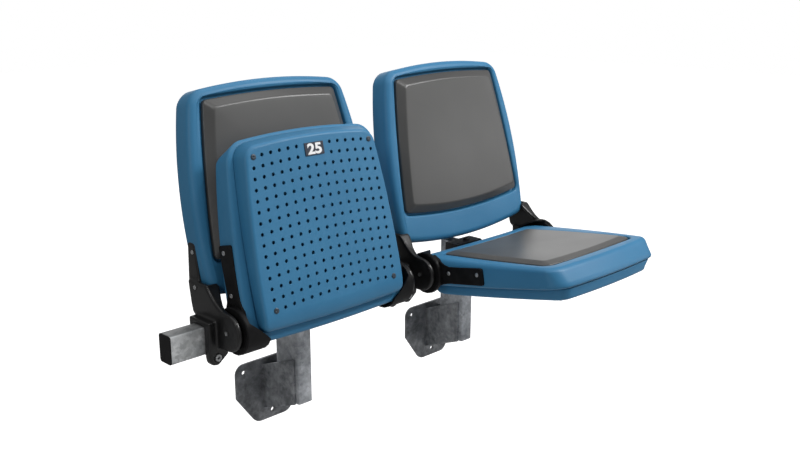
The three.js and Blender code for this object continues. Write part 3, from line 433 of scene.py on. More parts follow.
def bowed_outline(edges, inset):
    """A rounded quadrilateral with bowed sides, anticlockwise, as an array of (across, along).

    Each side is a quadratic curve whose middle stands out by its bow. Each corner is a cubic curve
    from one side to the next. An inset moves every side inwards and tightens the corners by as much.
    """
    near, far = edges["near"] + inset, edges["far"] - inset
    near_half, far_half = edges["near_half"] - inset, edges["far_half"] - inset
    corners = np.array([[-near_half, near], [near_half, near], [far_half, far], [-far_half, far]])
    bows = [edges["near_bow"], edges["side_bow"], edges["far_bow"], edges["side_bow"]]
    tightest = edges.get("tightest", TIGHTEST)
    near_round = max(edges["near_corner"] - inset, tightest)
    far_round = max(edges["far_corner"] - inset, tightest)
    rounds = [near_round, near_round, far_round, far_round]

    def side(i):
        start, end = corners[i], corners[(i + 1) % 4]
        run = end - start
        length = np.linalg.norm(run)
        outward = np.array([run[1], -run[0]]) / length
        return start, (start + end) / 2 + outward * 2 * bows[i], end, length

    def at(curve, t):
        start, control, end, _ = curve
        t = np.atleast_1d(t)[:, None]
        return start * (1 - t) ** 2 + control * 2 * t * (1 - t) + end * t**2

    def direction(curve, t):
        start, control, end, _ = curve
        slope = (control - start) * (1 - t) + (end - control) * t
        return slope / np.linalg.norm(slope)

    parts = []
    for i in range(4):
        curve, following = side(i), side((i + 1) % 4)
        first = rounds[i] / curve[3]
        last = 1 - rounds[(i + 1) % 4] / curve[3]
        parts.append(at(curve, np.linspace(first, last, SIDE_STEPS, endpoint=False)))
        entry = rounds[(i + 1) % 4] / following[3]
        leave, arrive = at(curve, last)[0], at(following, entry)[0]
        reach = rounds[(i + 1) % 4] * ARC_HANDLE
        out = leave + direction(curve, last) * reach
        back = arrive - direction(following, entry) * reach
        t = np.linspace(0, 1, CORNER_STEPS, endpoint=False)[:, None]
        parts.append(
            leave * (1 - t) ** 3 + out * 3 * t * (1 - t) ** 2 + back * 3 * t**2 * (1 - t) + arrive * t**3
        )
    return np.concatenate(parts)


def quarter(edge, level, radius, steps, turn):
    """Rings of a quarter round as (inset, level) pairs.

    turn "in" goes from an upright side up into a face at level. turn "out" goes from a face at level
    out to an upright side above it, as seen from below.
    """
    angle = np.linspace(0, math.pi / 2, steps + 1)
    if turn == "in":
        return list(zip(edge + radius * (1 - np.cos(angle)), level - radius * (1 - np.sin(angle))))
    return list(zip(edge + radius * (1 - np.sin(angle)), level + radius * (1 - np.cos(angle))))


def ring_stack(edges, rings):
    """Rings (inset, level) of one outline, as an array of rings by points by (across, along, level)."""
    stack = []
    for inset, level in rings:
        flat = bowed_outline(edges, inset)
        stack.append(np.column_stack([flat, np.full(len(flat), level)]))
    return np.array(stack)


def crossed(first, last, steps, rise):
    """Rings between two rings that face each other, in even shares, raised by a half sine at most rise."""
    share = np.linspace(0, 1, steps + 2)[1:-1, None, None]
    between = first[None] * (1 - share) + last[None] * share
    between[:, :, 2] += rise * np.sin(math.pi * share[:, :, 0])
    return between


def closed_in(ring, steps, centre_lift=0.0):
    """Rings that shrink from a ring to near its middle, lifted towards the middle by a parabola that is
    centre_lift high."""
    share = np.linspace(1, 0, steps + 2)[1:-1, None, None]
    middle = ring.mean(0)
    shrunk = middle + (ring - middle)[None] * share
    shrunk[:, :, 2] += centre_lift * (1 - share[:, :, 0] ** 2)
    return shrunk


def pocket_rings(edges, rim, bottom):
    """A pad's pocket: a quarter round lip that leaves the face at rim, then a straight wall down to the
    floor at bottom. Returns the lip's rings and the floor's."""
    angles = np.linspace(0, math.pi / 2, LIP_STEPS + 1)
    lip = ring_stack(edges, [
        (-POCKET_CLEAR - POCKET_LIP * (1 - math.sin(a)), rim - POCKET_LIP * (1 - math.cos(a))) for a in angles
    ])
    return lip, ring_stack(edges, [(-POCKET_CLEAR, bottom), (POCKET_FLOOR_INSET, bottom)])


def surface(name, stack, material):
    """A closed mesh from a stack of rings, each end closed by a fan to its ring's middle."""
    count, around = stack.shape[:2]
    points = np.concatenate([stack.reshape(-1, 3), stack[0].mean(0)[None], stack[-1].mean(0)[None]])
    ring, step = np.meshgrid(np.arange(count - 1), np.arange(around), indexing="ij")
    following = (step + 1) % around
    quads = np.stack(
        [ring * around + step, ring * around + following,
         (ring + 1) * around + following, (ring + 1) * around + step], axis=-1,
    ).reshape(-1, 4)
    i = np.arange(around)
    after = (i + 1) % around
    first = np.column_stack([after, i, np.full(around, count * around)])
    base = (count - 1) * around
    last = np.column_stack([base + i, base + after, np.full(around, count * around + 1)])
    mesh = bpy.data.meshes.new(name)
    mesh.from_pydata(points.tolist(), [], quads.tolist() + first.tolist() + last.tolist())
    mesh.polygons.foreach_set("use_smooth", np.ones(len(mesh.polygons), bool))
    mesh.materials.append(material)
    mesh.update()
    made = bpy.data.objects.new(name, mesh)
    scene.collection.objects.link(made)
    return made


def blue_material():
    """Moulded polypropylene: slow clouds between two near tones, and a fine grain."""
    made, tree, shader = new_material("blue_shell")
    tinted(tree, shader, noise(tree, 5.0, detail=3.0), [(0.3, BLUE), (0.7, BLUE_PALE)])
    dull = [(0.3, BLUE_ROUGHNESS - 0.04), (0.7, BLUE_ROUGHNESS + 0.06)]
    roughened(tree, shader, noise(tree, 18.0), dull)
    shader.inputs["Specular IOR Level"].default_value = 0.28
    grain = noise(tree, BLUE_GRAIN, detail=2.0, roughness=0.6)
    bump(tree, shader, grain, strength=0.14, distance=0.0003)
    return made


blue = blue_material()


def back_place(points, seat_x):
    """From (across, up the front plane, out of it) to the leaning back of a seat."""
    across, up, out = points[..., 0], points[..., 1], points[..., 2]
    cosine, sine = math.cos(BACK_LEAN), math.sin(BACK_LEAN)
    place = np.stack([across, up * sine - out * cosine, up * cosine + out * sine], axis=-1)
    return place + BACK_FOOT + BEAM_MIDDLE + np.array([seat_x, 0, 0])


def back_shell_rings():
    """The back shell from its hidden inner skin, round the rear rim, up the side and into the pocket."""
    inner = ring_stack(BACK_EDGES, [(BACK_WALL, -BACK_DEPTH + BACK_SKIN_RUN), (BACK_WALL, -BACK_DEPTH)])
    outer = ring_stack(
        BACK_EDGES,
        quarter(0.0, -BACK_DEPTH, BACK_REAR_EDGE, REAR_STEPS, "out")
        + [(0.0, level) for level in BACK_SIDE_LEVELS]
        + quarter(0.0, 0.0, BACK_EDGE, EDGE_STEPS, "in"),
    )
    lip, floor = pocket_rings(BACK_PAD_EDGES, 0.0, -POCKET_DEPTH)
    face = crossed(outer[-1], lip[0], FACE_RINGS, FACE_BULGE)
    return np.concatenate([
        closed_in(inner[0], 2)[::-1], inner, outer, face, lip, floor, closed_in(floor[-1], 2),
    ])


for seat, seat_x in SEAT_PLACES.items():
    shell = surface(seat + "_back_moulding", back_place(back_shell_rings(), seat_x), blue)
    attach(shell, "row_frame")
    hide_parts(seat + "_back_shell")
    dressed(seat + "_back_panel", blue)


# Back pads: foam under a dark grey vinyl cover, pressed to a crisp raised block with bevelled edges and
# small round corners. They are glued into the shell's pocket.
VINYL = (0.058, 0.0575, 0.056, 1)
VINYL_PALE = (0.070, 0.0695, 0.068, 1)
VINYL_GRAIN = 900.0
VINYL_ROUGHNESS = 0.34
BACK_PAD_RISE = 0.0115
BACK_PAD_BLEND = 0.28
PAD_CROWN = 0.0016
PAD_CROWN_RINGS = 14
PAD_BEVEL = 0.0185
PAD_BEVEL_SHARES = np.array([0, 0.03, 0.08, 0.15, 0.3, 0.42, 0.5, 0.58, 0.66, 0.74, 0.82, 0.9, 0.96, 1.0])
PAD_TUCK = 0.0015
PAD_SHRINK = 0.0040
PAD_FOOT_GAP = 0.0004
PAD_FOOT_ROUND = 0.002
PAD_SIDE_TOP = 0.003
PAD_SIDE_EDGE = 0.001


def vinyl_material():
    """Coated cloth: a fine pebble grain, slow tone clouds, and a low sheen where light grazes it."""
    made, tree, shader = new_material("grey_vinyl")
    tinted(tree, shader, noise(tree, 7.0, detail=1.5), [(0.3, VINYL), (0.7, VINYL_PALE)])
    dull = [(0.3, VINYL_ROUGHNESS - 0.015), (0.7, VINYL_ROUGHNESS + 0.02)]
    roughened(tree, shader, noise(tree, 9.0, detail=1.0), dull)
    shader.inputs["Sheen Weight"].default_value = 0.05
    shader.inputs["Sheen Roughness"].default_value = 0.45
    pebbles = cells_of(tree, VINYL_GRAIN)
    bump(tree, shader, pebbles.outputs["Distance"], strength=0.05, distance=0.0003)
    return made


vinyl = vinyl_material()


def pad_rings(edges, floor, rim, rise, blend):
    """A pad from its hidden foot up its steep side, over a bevel and in to its crowned face. It stands
    PAD_SHRINK inside the pocket's outline, which leaves the dark groove round it.

    The bevel runs from the side's top, near the rim, to the face, PAD_BEVEL further in and rise higher.
    Its height grows in proportion to the way across it, less a parabola over the last share blend, so
    that it meets the face level. The face lifts by PAD_CROWN to its middle.
    """
    fall = np.clip((PAD_BEVEL_SHARES - 1 + blend) / blend, 0, 1)
    height = rim + rise * (PAD_BEVEL_SHARES - 0.5 * blend * fall**2) / (1 - 0.5 * blend)
    inset = PAD_TUCK + PAD_BEVEL * PAD_BEVEL_SHARES
    side = [
        (PAD_TUCK, floor + PAD_FOOT_GAP),
        (0.0, floor + PAD_FOOT_ROUND),
        (0.0, rim - PAD_SIDE_TOP),
        (PAD_TUCK / 3, rim - PAD_SIDE_EDGE),
    ]
    profile = np.array(side + list(zip(inset, height))) + [PAD_SHRINK, 0.0]
    body = ring_stack(edges, profile)
    foot = closed_in(body[0], 2)[::-1]
    return np.concatenate([foot, body, closed_in(body[-1], PAD_CROWN_RINGS, PAD_CROWN)])


for seat, seat_x in SEAT_PLACES.items():
    rings = pad_rings(BACK_PAD_EDGES, -POCKET_DEPTH, 0.0, BACK_PAD_RISE, BACK_PAD_BLEND)
    pad = surface(seat + "_back_cushion", back_place(rings, seat_x), vinyl)
    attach(pad, "row_frame")
    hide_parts(seat + "_back_pad")


# Seat shells and their pads: the upper mouldings of the tip-up seats, in the same blue plastic, a deep rim
# round the pad that sinks a little towards the front, with a turned-in lip below that takes the pan. The
# pads are made and glued in as those of the backs.
SEAT_EDGES = dict(
    near=-0.368, far=0.033, near_half=0.192, far_half=0.218,
    near_bow=0.012, far_bow=0.006, side_bow=0.011, near_corner=0.036, far_corner=0.035,
)
PAN_EDGES = dict(
    near=-0.356, far=0.012, near_half=0.171, far_half=0.193,
    near_bow=0.010, far_bow=0.004, side_bow=0.008, near_corner=0.026, far_corner=0.016,
)
SEAT_PAD_EDGES = dict(
    near=-0.319, far=0.002, near_half=0.171, far_half=0.165,
    near_bow=0.008, far_bow=0.004, side_bow=0.006, near_corner=0.020, far_corner=0.018,
    tightest=0.009,
)
PIVOT = np.array([0.0, -0.072, 0.026])
SEAT_ANGLES = {"left_seat": math.radians(103), "right_seat": math.radians(10)}
SEAT_FRONT = 0.368
SEAT_REAR_HALF = 0.218
SEAT_RIM = 0.036
SEAT_TAPER = 0.022
SEAT_DISH = 0.005
SEAT_LEAN = 0.024
SEAT_LEAN_FROM = 0.327
SEAT_SEAM = -0.033
SEAT_FLOOR = 0.026
SEAT_POCKET = 0.0225
SEAT_EDGE = 0.014
SEAT_LIP_EDGE = 0.010
SEAT_LIP_STEPS = 6
SEAT_SIDE_LEVELS = (-0.010, 0.006)
PAN_OPENING_RUN = 0.004
PAN_GAP = 0.0008
SEAT_PAD_RISE = 0.0085
SEAT_PAD_BLEND = 0.25


def seat_shape(points):
    """The rim sinks towards the front in proportion to how far ahead a point is, and its rear is dished
    by a parabola across the seat that fades towards the front. Ahead of the pad the front face leans
    back, in proportion to the height above its lower edge and to how far ahead a point is."""
    across, along, level = points[..., 0], points[..., 1], points[..., 2]
    taper = np.maximum(0, (level - SEAT_SEAM) / (SEAT_RIM - SEAT_SEAM))
    dished = np.maximum(0, (level - SEAT_FLOOR) / (SEAT_RIM - SEAT_FLOOR))
    ahead = -along / SEAT_FRONT
    dish = SEAT_DISH * (1 - (across / SEAT_REAR_HALF) ** 2) * (1 - ahead)
    lower_edge = SEAT_SEAM + SEAT_LIP_EDGE
    raised = np.maximum(0, (level - lower_edge) / (SEAT_RIM - lower_edge))
    foremost = SEAT_FRONT + SEAT_EDGES["near_bow"]
    forward = np.maximum(0, (-along - SEAT_LEAN_FROM) / (foremost - SEAT_LEAN_FROM))
    leaned = along + SEAT_LEAN * raised * forward
    return np.stack([across, leaned, level - taper * SEAT_TAPER * ahead - dished * dish], axis=-1)


def seat_place(points, seat):
    """From the level seat, measured from its pivot, to the seat as it rests, tipped by its angle."""
    angle = -SEAT_ANGLES[seat]
    across, along, level = points[..., 0], points[..., 1], points[..., 2]
    cosine, sine = math.cos(angle), math.sin(angle)
    turned = np.stack([across, along * cosine - level * sine, along * sine + level * cosine], axis=-1)
    return turned + PIVOT + BEAM_MIDDLE + np.array([SEAT_PLACES[seat], 0, 0])


def seat_shell_rings():
    """The seat shell from the pan's opening, along the lip, up the side, over the rim, into the pocket."""
    opening = ring_stack(PAN_EDGES, [(-PAN_GAP, SEAT_SEAM + PAN_OPENING_RUN), (-PAN_GAP, SEAT_SEAM)])
    outer = ring_stack(
        SEAT_EDGES,
        quarter(0.0, SEAT_SEAM, SEAT_LIP_EDGE, SEAT_LIP_STEPS, "out")
        + [(0.0, level) for level in SEAT_SIDE_LEVELS]
        + quarter(0.0, SEAT_RIM, SEAT_EDGE, EDGE_STEPS, "in"),
    )
    lip, floor = pocket_rings(SEAT_PAD_EDGES, SEAT_RIM, SEAT_POCKET)
    band = crossed(opening[-1], outer[0], 2, 0.0)
    face = crossed(outer[-1], lip[0], FACE_RINGS, FACE_BULGE)
    return np.concatenate([
        closed_in(opening[0], 2)[::-1], opening, band, outer, face, lip, floor, closed_in(floor[-1], 2),
    ])


for seat in SEATS:
    shell = surface(seat + "_rim_moulding", seat_place(seat_shape(seat_shell_rings()), seat), blue)
    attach(shell, seat + "_swing")
    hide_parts(seat + "_shell")
    rings = pad_rings(SEAT_PAD_EDGES, SEAT_POCKET, SEAT_RIM, SEAT_PAD_RISE, SEAT_PAD_BLEND)
    pad = surface(seat + "_seat_cushion", seat_place(seat_shape(rings), seat), vinyl)
    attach(pad, seat + "_swing")
    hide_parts(seat + "_pad")


# Pans: the perforated blue trays under the seats, moulded in the same plastic. Fifteen bowed rows of small
# round holes let rain out. The corner places hold screws, and a bare patch in the two front rows takes the
# number plate.
PAN_FLANGE_EDGES = dict(
    near=-0.3635, far=0.012, near_half=0.181, far_half=0.193,
    near_bow=0.011, far_bow=0.004, side_bow=0.008, near_corner=0.030, far_corner=0.016,
)
PAN_UNDERSIDE = -0.061
PAN_TOP = -0.029
PAN_EDGE = 0.008
PAN_BORDER_INSETS = (0.034, 0.029, 0.024, 0.019, 0.015, 0.011)
PAN_INNER_STEPS = 5
PAN_FLANGE_LEVELS = ((0.0, -0.0016), (0.0006, -0.0006))
PAN_NECK_DROP = 0.0004
PAN_ROLL = 0.009
PAN_ROLL_RUN = 0.034
PAN_WALL = 0.003
FLAT_NORMAL = 0.999
HOLE_RADIUS = 0.0038
HOLE_FLARE = 0.0005
HOLE_MOUTH = 2.2
HOLE_OVERRUN = 0.0007
HOLE_DEPTH = 0.005
HOLE_SIDES = 20
HOLE_ROWS = 15
HOLE_COLUMNS = 15
PLATE_ROWS = 2
PLATE_COLUMNS = (6, 8)
ROW_REAR = 0.027
ROW_FRONT = 0.335
ROW_BOW = 0.008
COLUMN_HALF = (0.163, 0.165, 0.155)


def hole_places():
    """Hole middles (across, along). Rows are evenly spaced and bow to the front by a parabola; a row's half
    width is the quadratic curve through its rear, middle and front widths."""
    row, column = np.meshgrid(np.arange(HOLE_ROWS), np.arange(HOLE_COLUMNS), indexing="ij")
    forward = row / (HOLE_ROWS - 1)
    sideways = 2 * column / (HOLE_COLUMNS - 1) - 1
    rear, middle, front = COLUMN_HALF
    half = (
        rear * (1 - forward) * (1 - 2 * forward)
        + middle * 4 * forward * (1 - forward)
        + front * forward * (2 * forward - 1)
    )
    ahead = ROW_REAR + (ROW_FRONT - ROW_REAR) * forward + ROW_BOW * (1 - sideways**2)
    corner = ((row == 0) | (row == HOLE_ROWS - 1)) & ((column == 0) | (column == HOLE_COLUMNS - 1))
    first, last = PLATE_COLUMNS
    plate = (row >= HOLE_ROWS - PLATE_ROWS) & (column >= first) & (column <= last)
    keep = ~(corner | plate)
    return np.column_stack([(half * sideways)[keep], -ahead[keep]])


def hole_cutters(name, places):
    """One mesh of closed plugs, each a turned profile: a flared mouth below the pan, then a straight wall."""
    flares = np.array([HOLE_MOUTH, 1.0, 0.0, 0.0])
    radii = HOLE_RADIUS + HOLE_FLARE * flares
    levels = PAN_UNDERSIDE + np.array([-HOLE_OVERRUN, 0.0, HOLE_FLARE, HOLE_DEPTH])
    angle = np.arange(HOLE_SIDES) * 2 * math.pi / HOLE_SIDES
    circle = np.stack([np.cos(angle), np.sin(angle)], axis=-1)
    flat = places[:, None, None, :] + radii[None, :, None, None] * circle[None, None]
    heights = np.broadcast_to(levels[None, :, None, None], flat.shape[:3] + (1,))
    plugs, rings = len(places), len(radii)
    points = np.concatenate([flat, heights], axis=-1).reshape(-1, 3)
    per_plug = rings * HOLE_SIDES
    ring, step = np.meshgrid(np.arange(rings - 1), np.arange(HOLE_SIDES), indexing="ij")
    following = (step + 1) % HOLE_SIDES
    wall = np.stack(
        [ring * HOLE_SIDES + step, ring * HOLE_SIDES + following,
         (ring + 1) * HOLE_SIDES + following, (ring + 1) * HOLE_SIDES + step], axis=-1,
    ).reshape(-1, 4)
    start = np.arange(plugs)[:, None, None] * per_plug
    walls = (start + wall[None]).reshape(-1, 4)
    below = (start[:, 0] + np.arange(HOLE_SIDES)[::-1]).tolist()
    above = (start[:, 0] + (rings - 1) * HOLE_SIDES + np.arange(HOLE_SIDES)).tolist()
    mesh = bpy.data.meshes.new(name)
    mesh.from_pydata(points.tolist(), [], walls.tolist() + below + above)
    made = bpy.data.objects.new(name, mesh)
    scene.collection.objects.link(made)
    return made


def pan_rings():
    """The tray from its underside, out and round the bottom edge, up the sloped side to a flange that meets
    the shell's lip, up inside the lip, and down the inside."""
    border = [(inset, PAN_UNDERSIDE) for inset in PAN_BORDER_INSETS]
    edge = quarter(0.0, PAN_UNDERSIDE, PAN_EDGE, EDGE_STEPS, "out")
    outside = ring_stack(PAN_EDGES, border + edge)
    flange = ring_stack(PAN_FLANGE_EDGES, [(inset, SEAT_SEAM + step) for inset, step in PAN_FLANGE_LEVELS])
    neck = ring_stack(PAN_EDGES, [(0.0, SEAT_SEAM - PAN_NECK_DROP), (0.0, PAN_TOP)])
    floor, inner_edge = PAN_UNDERSIDE + PAN_WALL, PAN_EDGE - PAN_WALL
    inner = quarter(PAN_WALL, floor, inner_edge, PAN_INNER_STEPS, "out")
    inside = ring_stack(PAN_EDGES, [(PAN_WALL, PAN_TOP)] + inner[::-1])
    return np.concatenate([outside, flange, neck, inside])


def rolled(points):
    """The tray's rear edge rolls up: within PAN_ROLL_RUN of the edge the underside rises by a parabola, up
    to PAN_ROLL, and the side above it by as much less as it is nearer to the tray's top."""
    along, level = points[..., 1], points[..., 2]
    share = np.clip((along - PAN_EDGES["far"] + PAN_ROLL_RUN) / PAN_ROLL_RUN, 0, 1)
    depth = (PAN_TOP - level) / (PAN_TOP - PAN_UNDERSIDE)
    return np.stack([points[..., 0], along, level + PAN_ROLL * share**2 * depth], axis=-1)


def move_points(mesh, moved):
    """Moves a mesh's vertices, taken as one array, to where the function moved puts them."""
    points = np.empty(len(mesh.vertices) * 3, np.float32)
    mesh.vertices.foreach_get("co", points)
    mesh.vertices.foreach_set("co", moved(points.reshape(-1, 3)).astype(np.float32).ravel())
    mesh.update()


def drilled_pan(seat):
    """A pan with its holes cut through the underside by the plugs."""
    pan = surface(seat + "_perforated_pan", pan_rings(), blue)
    plugs = hole_cutters(seat + "_plugs", hole_places())
    cut = pan.modifiers.new("holes", "BOOLEAN")
    cut.operation = "DIFFERENCE"
    cut.solver = "MANIFOLD"
    cut.object = plugs
    depsgraph = bpy.context.evaluated_depsgraph_get()
    drilled = bpy.data.meshes.new_from_object(pan.evaluated_get(depsgraph))
    pan.modifiers.clear()
    pan.data = drilled
    bpy.data.objects.remove(plugs)
    normals = np.empty(len(drilled.polygons) * 3, np.float32)
    drilled.polygons.foreach_get("normal", normals)
    centres = np.empty(len(drilled.polygons) * 3, np.float32)
    drilled.polygons.foreach_get("center", centres)
    in_roll = centres.reshape(-1, 3)[:, 1] > PAN_EDGES["far"] - PAN_ROLL_RUN
    upright = np.abs(normals.reshape(-1, 3)[:, 2]) < FLAT_NORMAL
    drilled.polygons.foreach_set("use_smooth", upright | in_roll)
    move_points(drilled, lambda points: seat_place(rolled(points), seat))
    return pan


for seat in SEATS:
    pan = drilled_pan(seat)
    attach(pan, seat + "_swing")
    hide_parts(seat + "_pan")


# Pan screws and strap screws: small round-headed screws with a cross recess, dark in the pan's corners
# and plated in the hinge straps.
HEAD_RADIUS = 0.0048
PAN_HEAD_RADIUS = 0.0060
HEAD_RISE = 0.0022
HEAD_DOME = 0.75
HEAD_FOOT = 0.002
HEAD_RINGS = 14
RECESS = 0.0011
RECESS_ARM = 0.16
RECESS_SLOPE = 1.6
RECESS_FADE = (1.4, 2.2)
SCREW_SIDES = 24
PAN_SCREWS = [(-0.1545, 0.335), (0.1545, 0.335), (-0.1635, 0.027), (0.1635, 0.027)]
STRAP_SCREWS = [0.070, 0.157]
STRAP_FACE = 0.222
HEAD_BLACK = (0.030, 0.042, 0.055, 1)
HEAD_RUBBED = (0.070, 0.094, 0.118, 1)


def screw_head(radius):
    """A screw head as a radial surface: a domed profile from a sunk middle, out to the rim and down its
    side. The sunk middle is a cross: its depth falls off with the smaller of the two distances to the
    arms, and fades out towards the rim."""
    share = np.linspace(0, 1, HEAD_RINGS)
    angle = np.arange(SCREW_SIDES) * 2 * math.pi / SCREW_SIDES
    across = radius * share[:, None] * np.cos(angle)
    along = radius * share[:, None] * np.sin(angle)
    dome = HEAD_RISE * np.sqrt(np.clip(1 - HEAD_DOME * share**2, 0, 1))[:, None] * np.ones_like(across)
    arm = np.minimum(np.abs(across), np.abs(along))
    start, slope = RECESS_FADE
    cross = np.clip(1 - arm / (RECESS_ARM * radius), 0, 1) * np.clip(start - slope * share, 0, 1)[:, None]
    top = np.stack([across, along, dome - RECESS * np.clip(RECESS_SLOPE * cross, 0, 1)], axis=-1)
    foot = top[-1].copy()
    foot[:, 2] = -HEAD_FOOT
    return np.concatenate([top, foot[None]])[::-1]


def turned_to(points, place, along_x):
    """Head points (x, y, out) set so that out points along -Z, or along X by the sign of along_x."""
    x, y, out = points[..., 0], points[..., 1], points[..., 2]
    if along_x:
        return np.stack([out * along_x, y, -x * along_x], axis=-1) + place
    return np.stack([x, -y, -out], axis=-1) + place


def dark_plated_material():
    """Blackened plating on the pan's screws, rubbed a little lighter in clouds."""
    made, tree, shader = new_material("dark_screw")
    tinted(tree, shader, noise(tree, 400.0), [(0.35, HEAD_BLACK), (0.7, HEAD_RUBBED)])
    shader.inputs["Metallic"].default_value = 0.6
    shader.inputs["Roughness"].default_value = 0.45
    return made


dark_plated = dark_plated_material()
pan_head, strap_head = screw_head(PAN_HEAD_RADIUS), screw_head(HEAD_RADIUS)
for seat in SEATS:
    heads = []
    for i, (x, ahead) in enumerate(PAN_SCREWS):
        stack = turned_to(pan_head, np.array([x, -ahead, PAN_UNDERSIDE]), 0)
        heads.append((f"{seat}_pan_screw_{i}", stack, dark_plated, "black_screw"))
    for side, sign in (("left", -1), ("right", 1)):
        for i, ahead in enumerate(STRAP_SCREWS):
            stack = turned_to(strap_head, np.array([sign * STRAP_FACE, -ahead, 0.0]), sign)
            heads.append((f"{seat}_hinge_strap_screw_{side}_{i}", stack, plated, "zinc_screw"))
    for name, stack, material, slot in heads:
        head = surface(name, seat_place(stack, seat), material)
        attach(head, seat + "_swing")


# Number plate: a small, nearly black laminate plate near the front edge of the left seat, fixed flat on the
# pan, with a plain white number printed on it.
LAMINATE_BLACK = (0.014, 0.018, 0.034, 1)
LAMINATE_PALE = (0.020, 0.025, 0.044, 1)
PRINT_GREY = (0.78, 0.79, 0.80, 1)
PRINT_WHITE = (0.88, 0.88, 0.88, 1)
PLATE_AHEAD = 0.333
PLATE_THICKNESS = 0.0018
PLATE_ROUND = 0.0003
DIGIT_HEIGHT = 0.0218
DIGIT_SIZE_PER_HEIGHT = 1.38
DIGIT_WIDEN = 1.28
DIGIT_BOLD = 0.0011
DIGIT_RAISE = 0.0003


def plate_material():
    """Nearly black laminate with a fine grain."""
    made, tree, shader = new_material("number_plate")
    tinted(tree, shader, noise(tree, 60.0, detail=3.0), [(0.3, LAMINATE_BLACK), (0.7, LAMINATE_PALE)])
    shader.inputs["Roughness"].default_value = 0.38
    bump(tree, shader, noise(tree, 900.0, detail=2.0), strength=0.06, distance=0.0002)
    return made


def print_material():
    """White print, a little uneven."""
    made, tree, shader = new_material("white_print")
    tinted(tree, shader, noise(tree, 500.0, detail=3.0), [(0.3, PRINT_GREY), (0.7, PRINT_WHITE)])
    shader.inputs["Roughness"].default_value = 0.5
    return made


def printed(points):
    """The digits centred, widened and turned to face out of the plate, then set on the folded-up seat."""
    drawn = points - (points.min(0) + points.max(0)) / 2
    x, y, out = drawn[:, 0], drawn[:, 1], drawn[:, 2]
    face = PAN_UNDERSIDE - PLATE_THICKNESS
    turned = np.stack([x * DIGIT_WIDEN, -y - PLATE_AHEAD, face - out], axis=-1)
    return seat_place(turned, "left_seat")


softened("left_seat_number_plate", "left_seat_plate", plate_material(), PLATE_ROUND)
text = bpy.data.curves.new("digits", "FONT")
text.body = "25"
text.align_x = "CENTER"
text.align_y = "CENTER"
text.size = DIGIT_HEIGHT * DIGIT_SIZE_PER_HEIGHT
text.offset = DIGIT_BOLD
text.extrude = DIGIT_RAISE / 2
letters = bpy.data.objects.new("digits", text)
scene.collection.objects.link(letters)
bpy.context.view_layer.update()
digits = bpy.data.meshes.new_from_object(letters.evaluated_get(bpy.context.evaluated_depsgraph_get()))
bpy.data.objects.remove(letters)
move_points(digits, printed)
digits.materials.clear()
digits.materials.append(print_material())
number = bpy.data.objects.new("left_seat_number", digits)
scene.collection.objects.link(number)
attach(number, "left_seat_swing")


# Studio: a pale floor well below the wall-hung row, which takes its shadow, soft lamps on both sides and a
# plain white surround. A broad card of light at the front right gives the pads and the beam their sheen, and
# one behind shows in the lowered pad.
FLOOR_LEVEL = -0.42
FLOOR_HALF = 12.0
FLOOR_DARK = 0.55
FLOOR_PALE = 0.57
FLOOR_GLOW = 0.88
WORLD_LIGHT = 0.26


def floor_material():
    """A pale floor that glows towards the camera only, so that it looks white and keeps the row's shadow."""
    made, tree, shader = new_material("floor")
    clouds = noise(tree, 2.0, detail=2.0)
    tinted(tree, shader, clouds, [(0.3, grey(FLOOR_DARK)), (0.7, grey(FLOOR_PALE))])
    shader.inputs["Roughness"].default_value = 0.9
    shader.inputs["Specular IOR Level"].default_value = 0.0
    shader.inputs["Emission Color"].default_value = (1, 1, 1, 1)
    seen = tree.nodes.new("ShaderNodeLightPath")
    glow = tree.nodes.new("ShaderNodeMapRange")
    glow.inputs["To Max"].default_value = FLOOR_GLOW
    tree.links.new(seen.outputs["Is Camera Ray"], glow.inputs["Value"])
    tree.links.new(glow.outputs["Result"], shader.inputs["Emission Strength"])
    return made


floor_mesh = bpy.data.meshes.new("floor")
corners = np.array([[-1, -1], [1, -1], [1, 1], [-1, 1]]) * FLOOR_HALF
floor_mesh.from_pydata(
    np.column_stack([corners, np.full(4, FLOOR_LEVEL)]).tolist(), [], [(0, 1, 2, 3)],
)
floor_mesh.materials.append(floor_material())
floor = bpy.data.objects.new("floor", floor_mesh)
scene.collection.objects.link(floor)

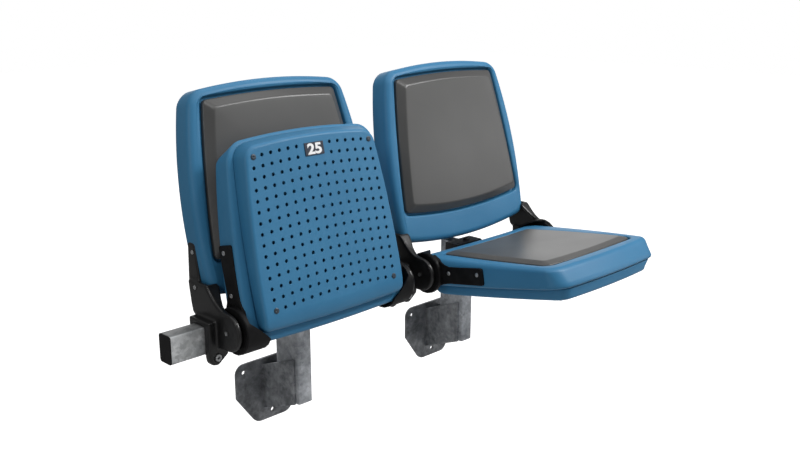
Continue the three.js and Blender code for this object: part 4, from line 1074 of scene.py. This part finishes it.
world = bpy.data.worlds.new("studio")
world.use_nodes = True
scene.world = world
links = world.node_tree.links
background = world.node_tree.nodes["Background"]
background.inputs["Color"].default_value = (1, 1, 1, 1)
path = world.node_tree.nodes.new("ShaderNodeLightPath")
seen = world.node_tree.nodes.new("ShaderNodeMath")
seen.operation = "MAXIMUM"
links.new(path.outputs["Is Camera Ray"], seen.inputs[0])
links.new(path.outputs["Is Transmission Ray"], seen.inputs[1])
level = world.node_tree.nodes.new("ShaderNodeMapRange")
level.inputs["To Min"].default_value = WORLD_LIGHT
level.inputs["To Max"].default_value = 1.0
links.new(seen.outputs[0], level.inputs["Value"])
links.new(level.outputs["Result"], background.inputs["Strength"])

# Each lamp: its name, where it stands, where it points, its width and height, and its power in watts.
LAMPS = [
    ("key", (1.9, -1.75, 2.25), (0.4, -0.2, 0.35), (0.9, 0.63), 53.0),
    ("glint_left", (-0.42, -1.25, 2.40), (-0.2, -0.2, 0.68), (0.16, 0.16), 5.5),
    ("glint_right", (0.52, -1.32, 2.32), (0.35, -0.2, 0.68), (0.16, 0.16), 5.5),
    ("left", (-2.2, -0.6, 1.6), (0.2, -0.2, 0.3), (0.5, 0.35), 6.5),
    ("strip", (-2.0, -1.4, 0.45), (-0.1, -0.2, 0.3), (0.22, 1.3), 3.0),
    ("top", (0.3, 0.1, 2.3), (0.3, -0.2, 0.3), (2.0, 1.5), 13.0),
    ("rear", (3.2, 3.2, 1.5), (0.5, -0.2, 0.3), (4.5, 3.15), 38.0),
    ("front", (3.7, -2.7, 1.0), (0.3, -0.2, 0.45), (1.9, 1.4), 18.0),
]
for name, place, target, size, power in LAMPS:
    lamp_data = bpy.data.lights.new(name, "AREA")
    lamp_data.shape = "RECTANGLE"
    lamp_data.size, lamp_data.size_y = size
    lamp_data.energy = power
    lamp = bpy.data.objects.new(name, lamp_data)
    lamp.location = place
    lamp.rotation_mode = "QUATERNION"
    lamp.rotation_quaternion = (Vector(target) - Vector(place)).to_track_quat("-Z", "Y")
    lamp.visible_camera = False
    scene.collection.objects.link(lamp)

scene.view_settings.view_transform = "Standard"
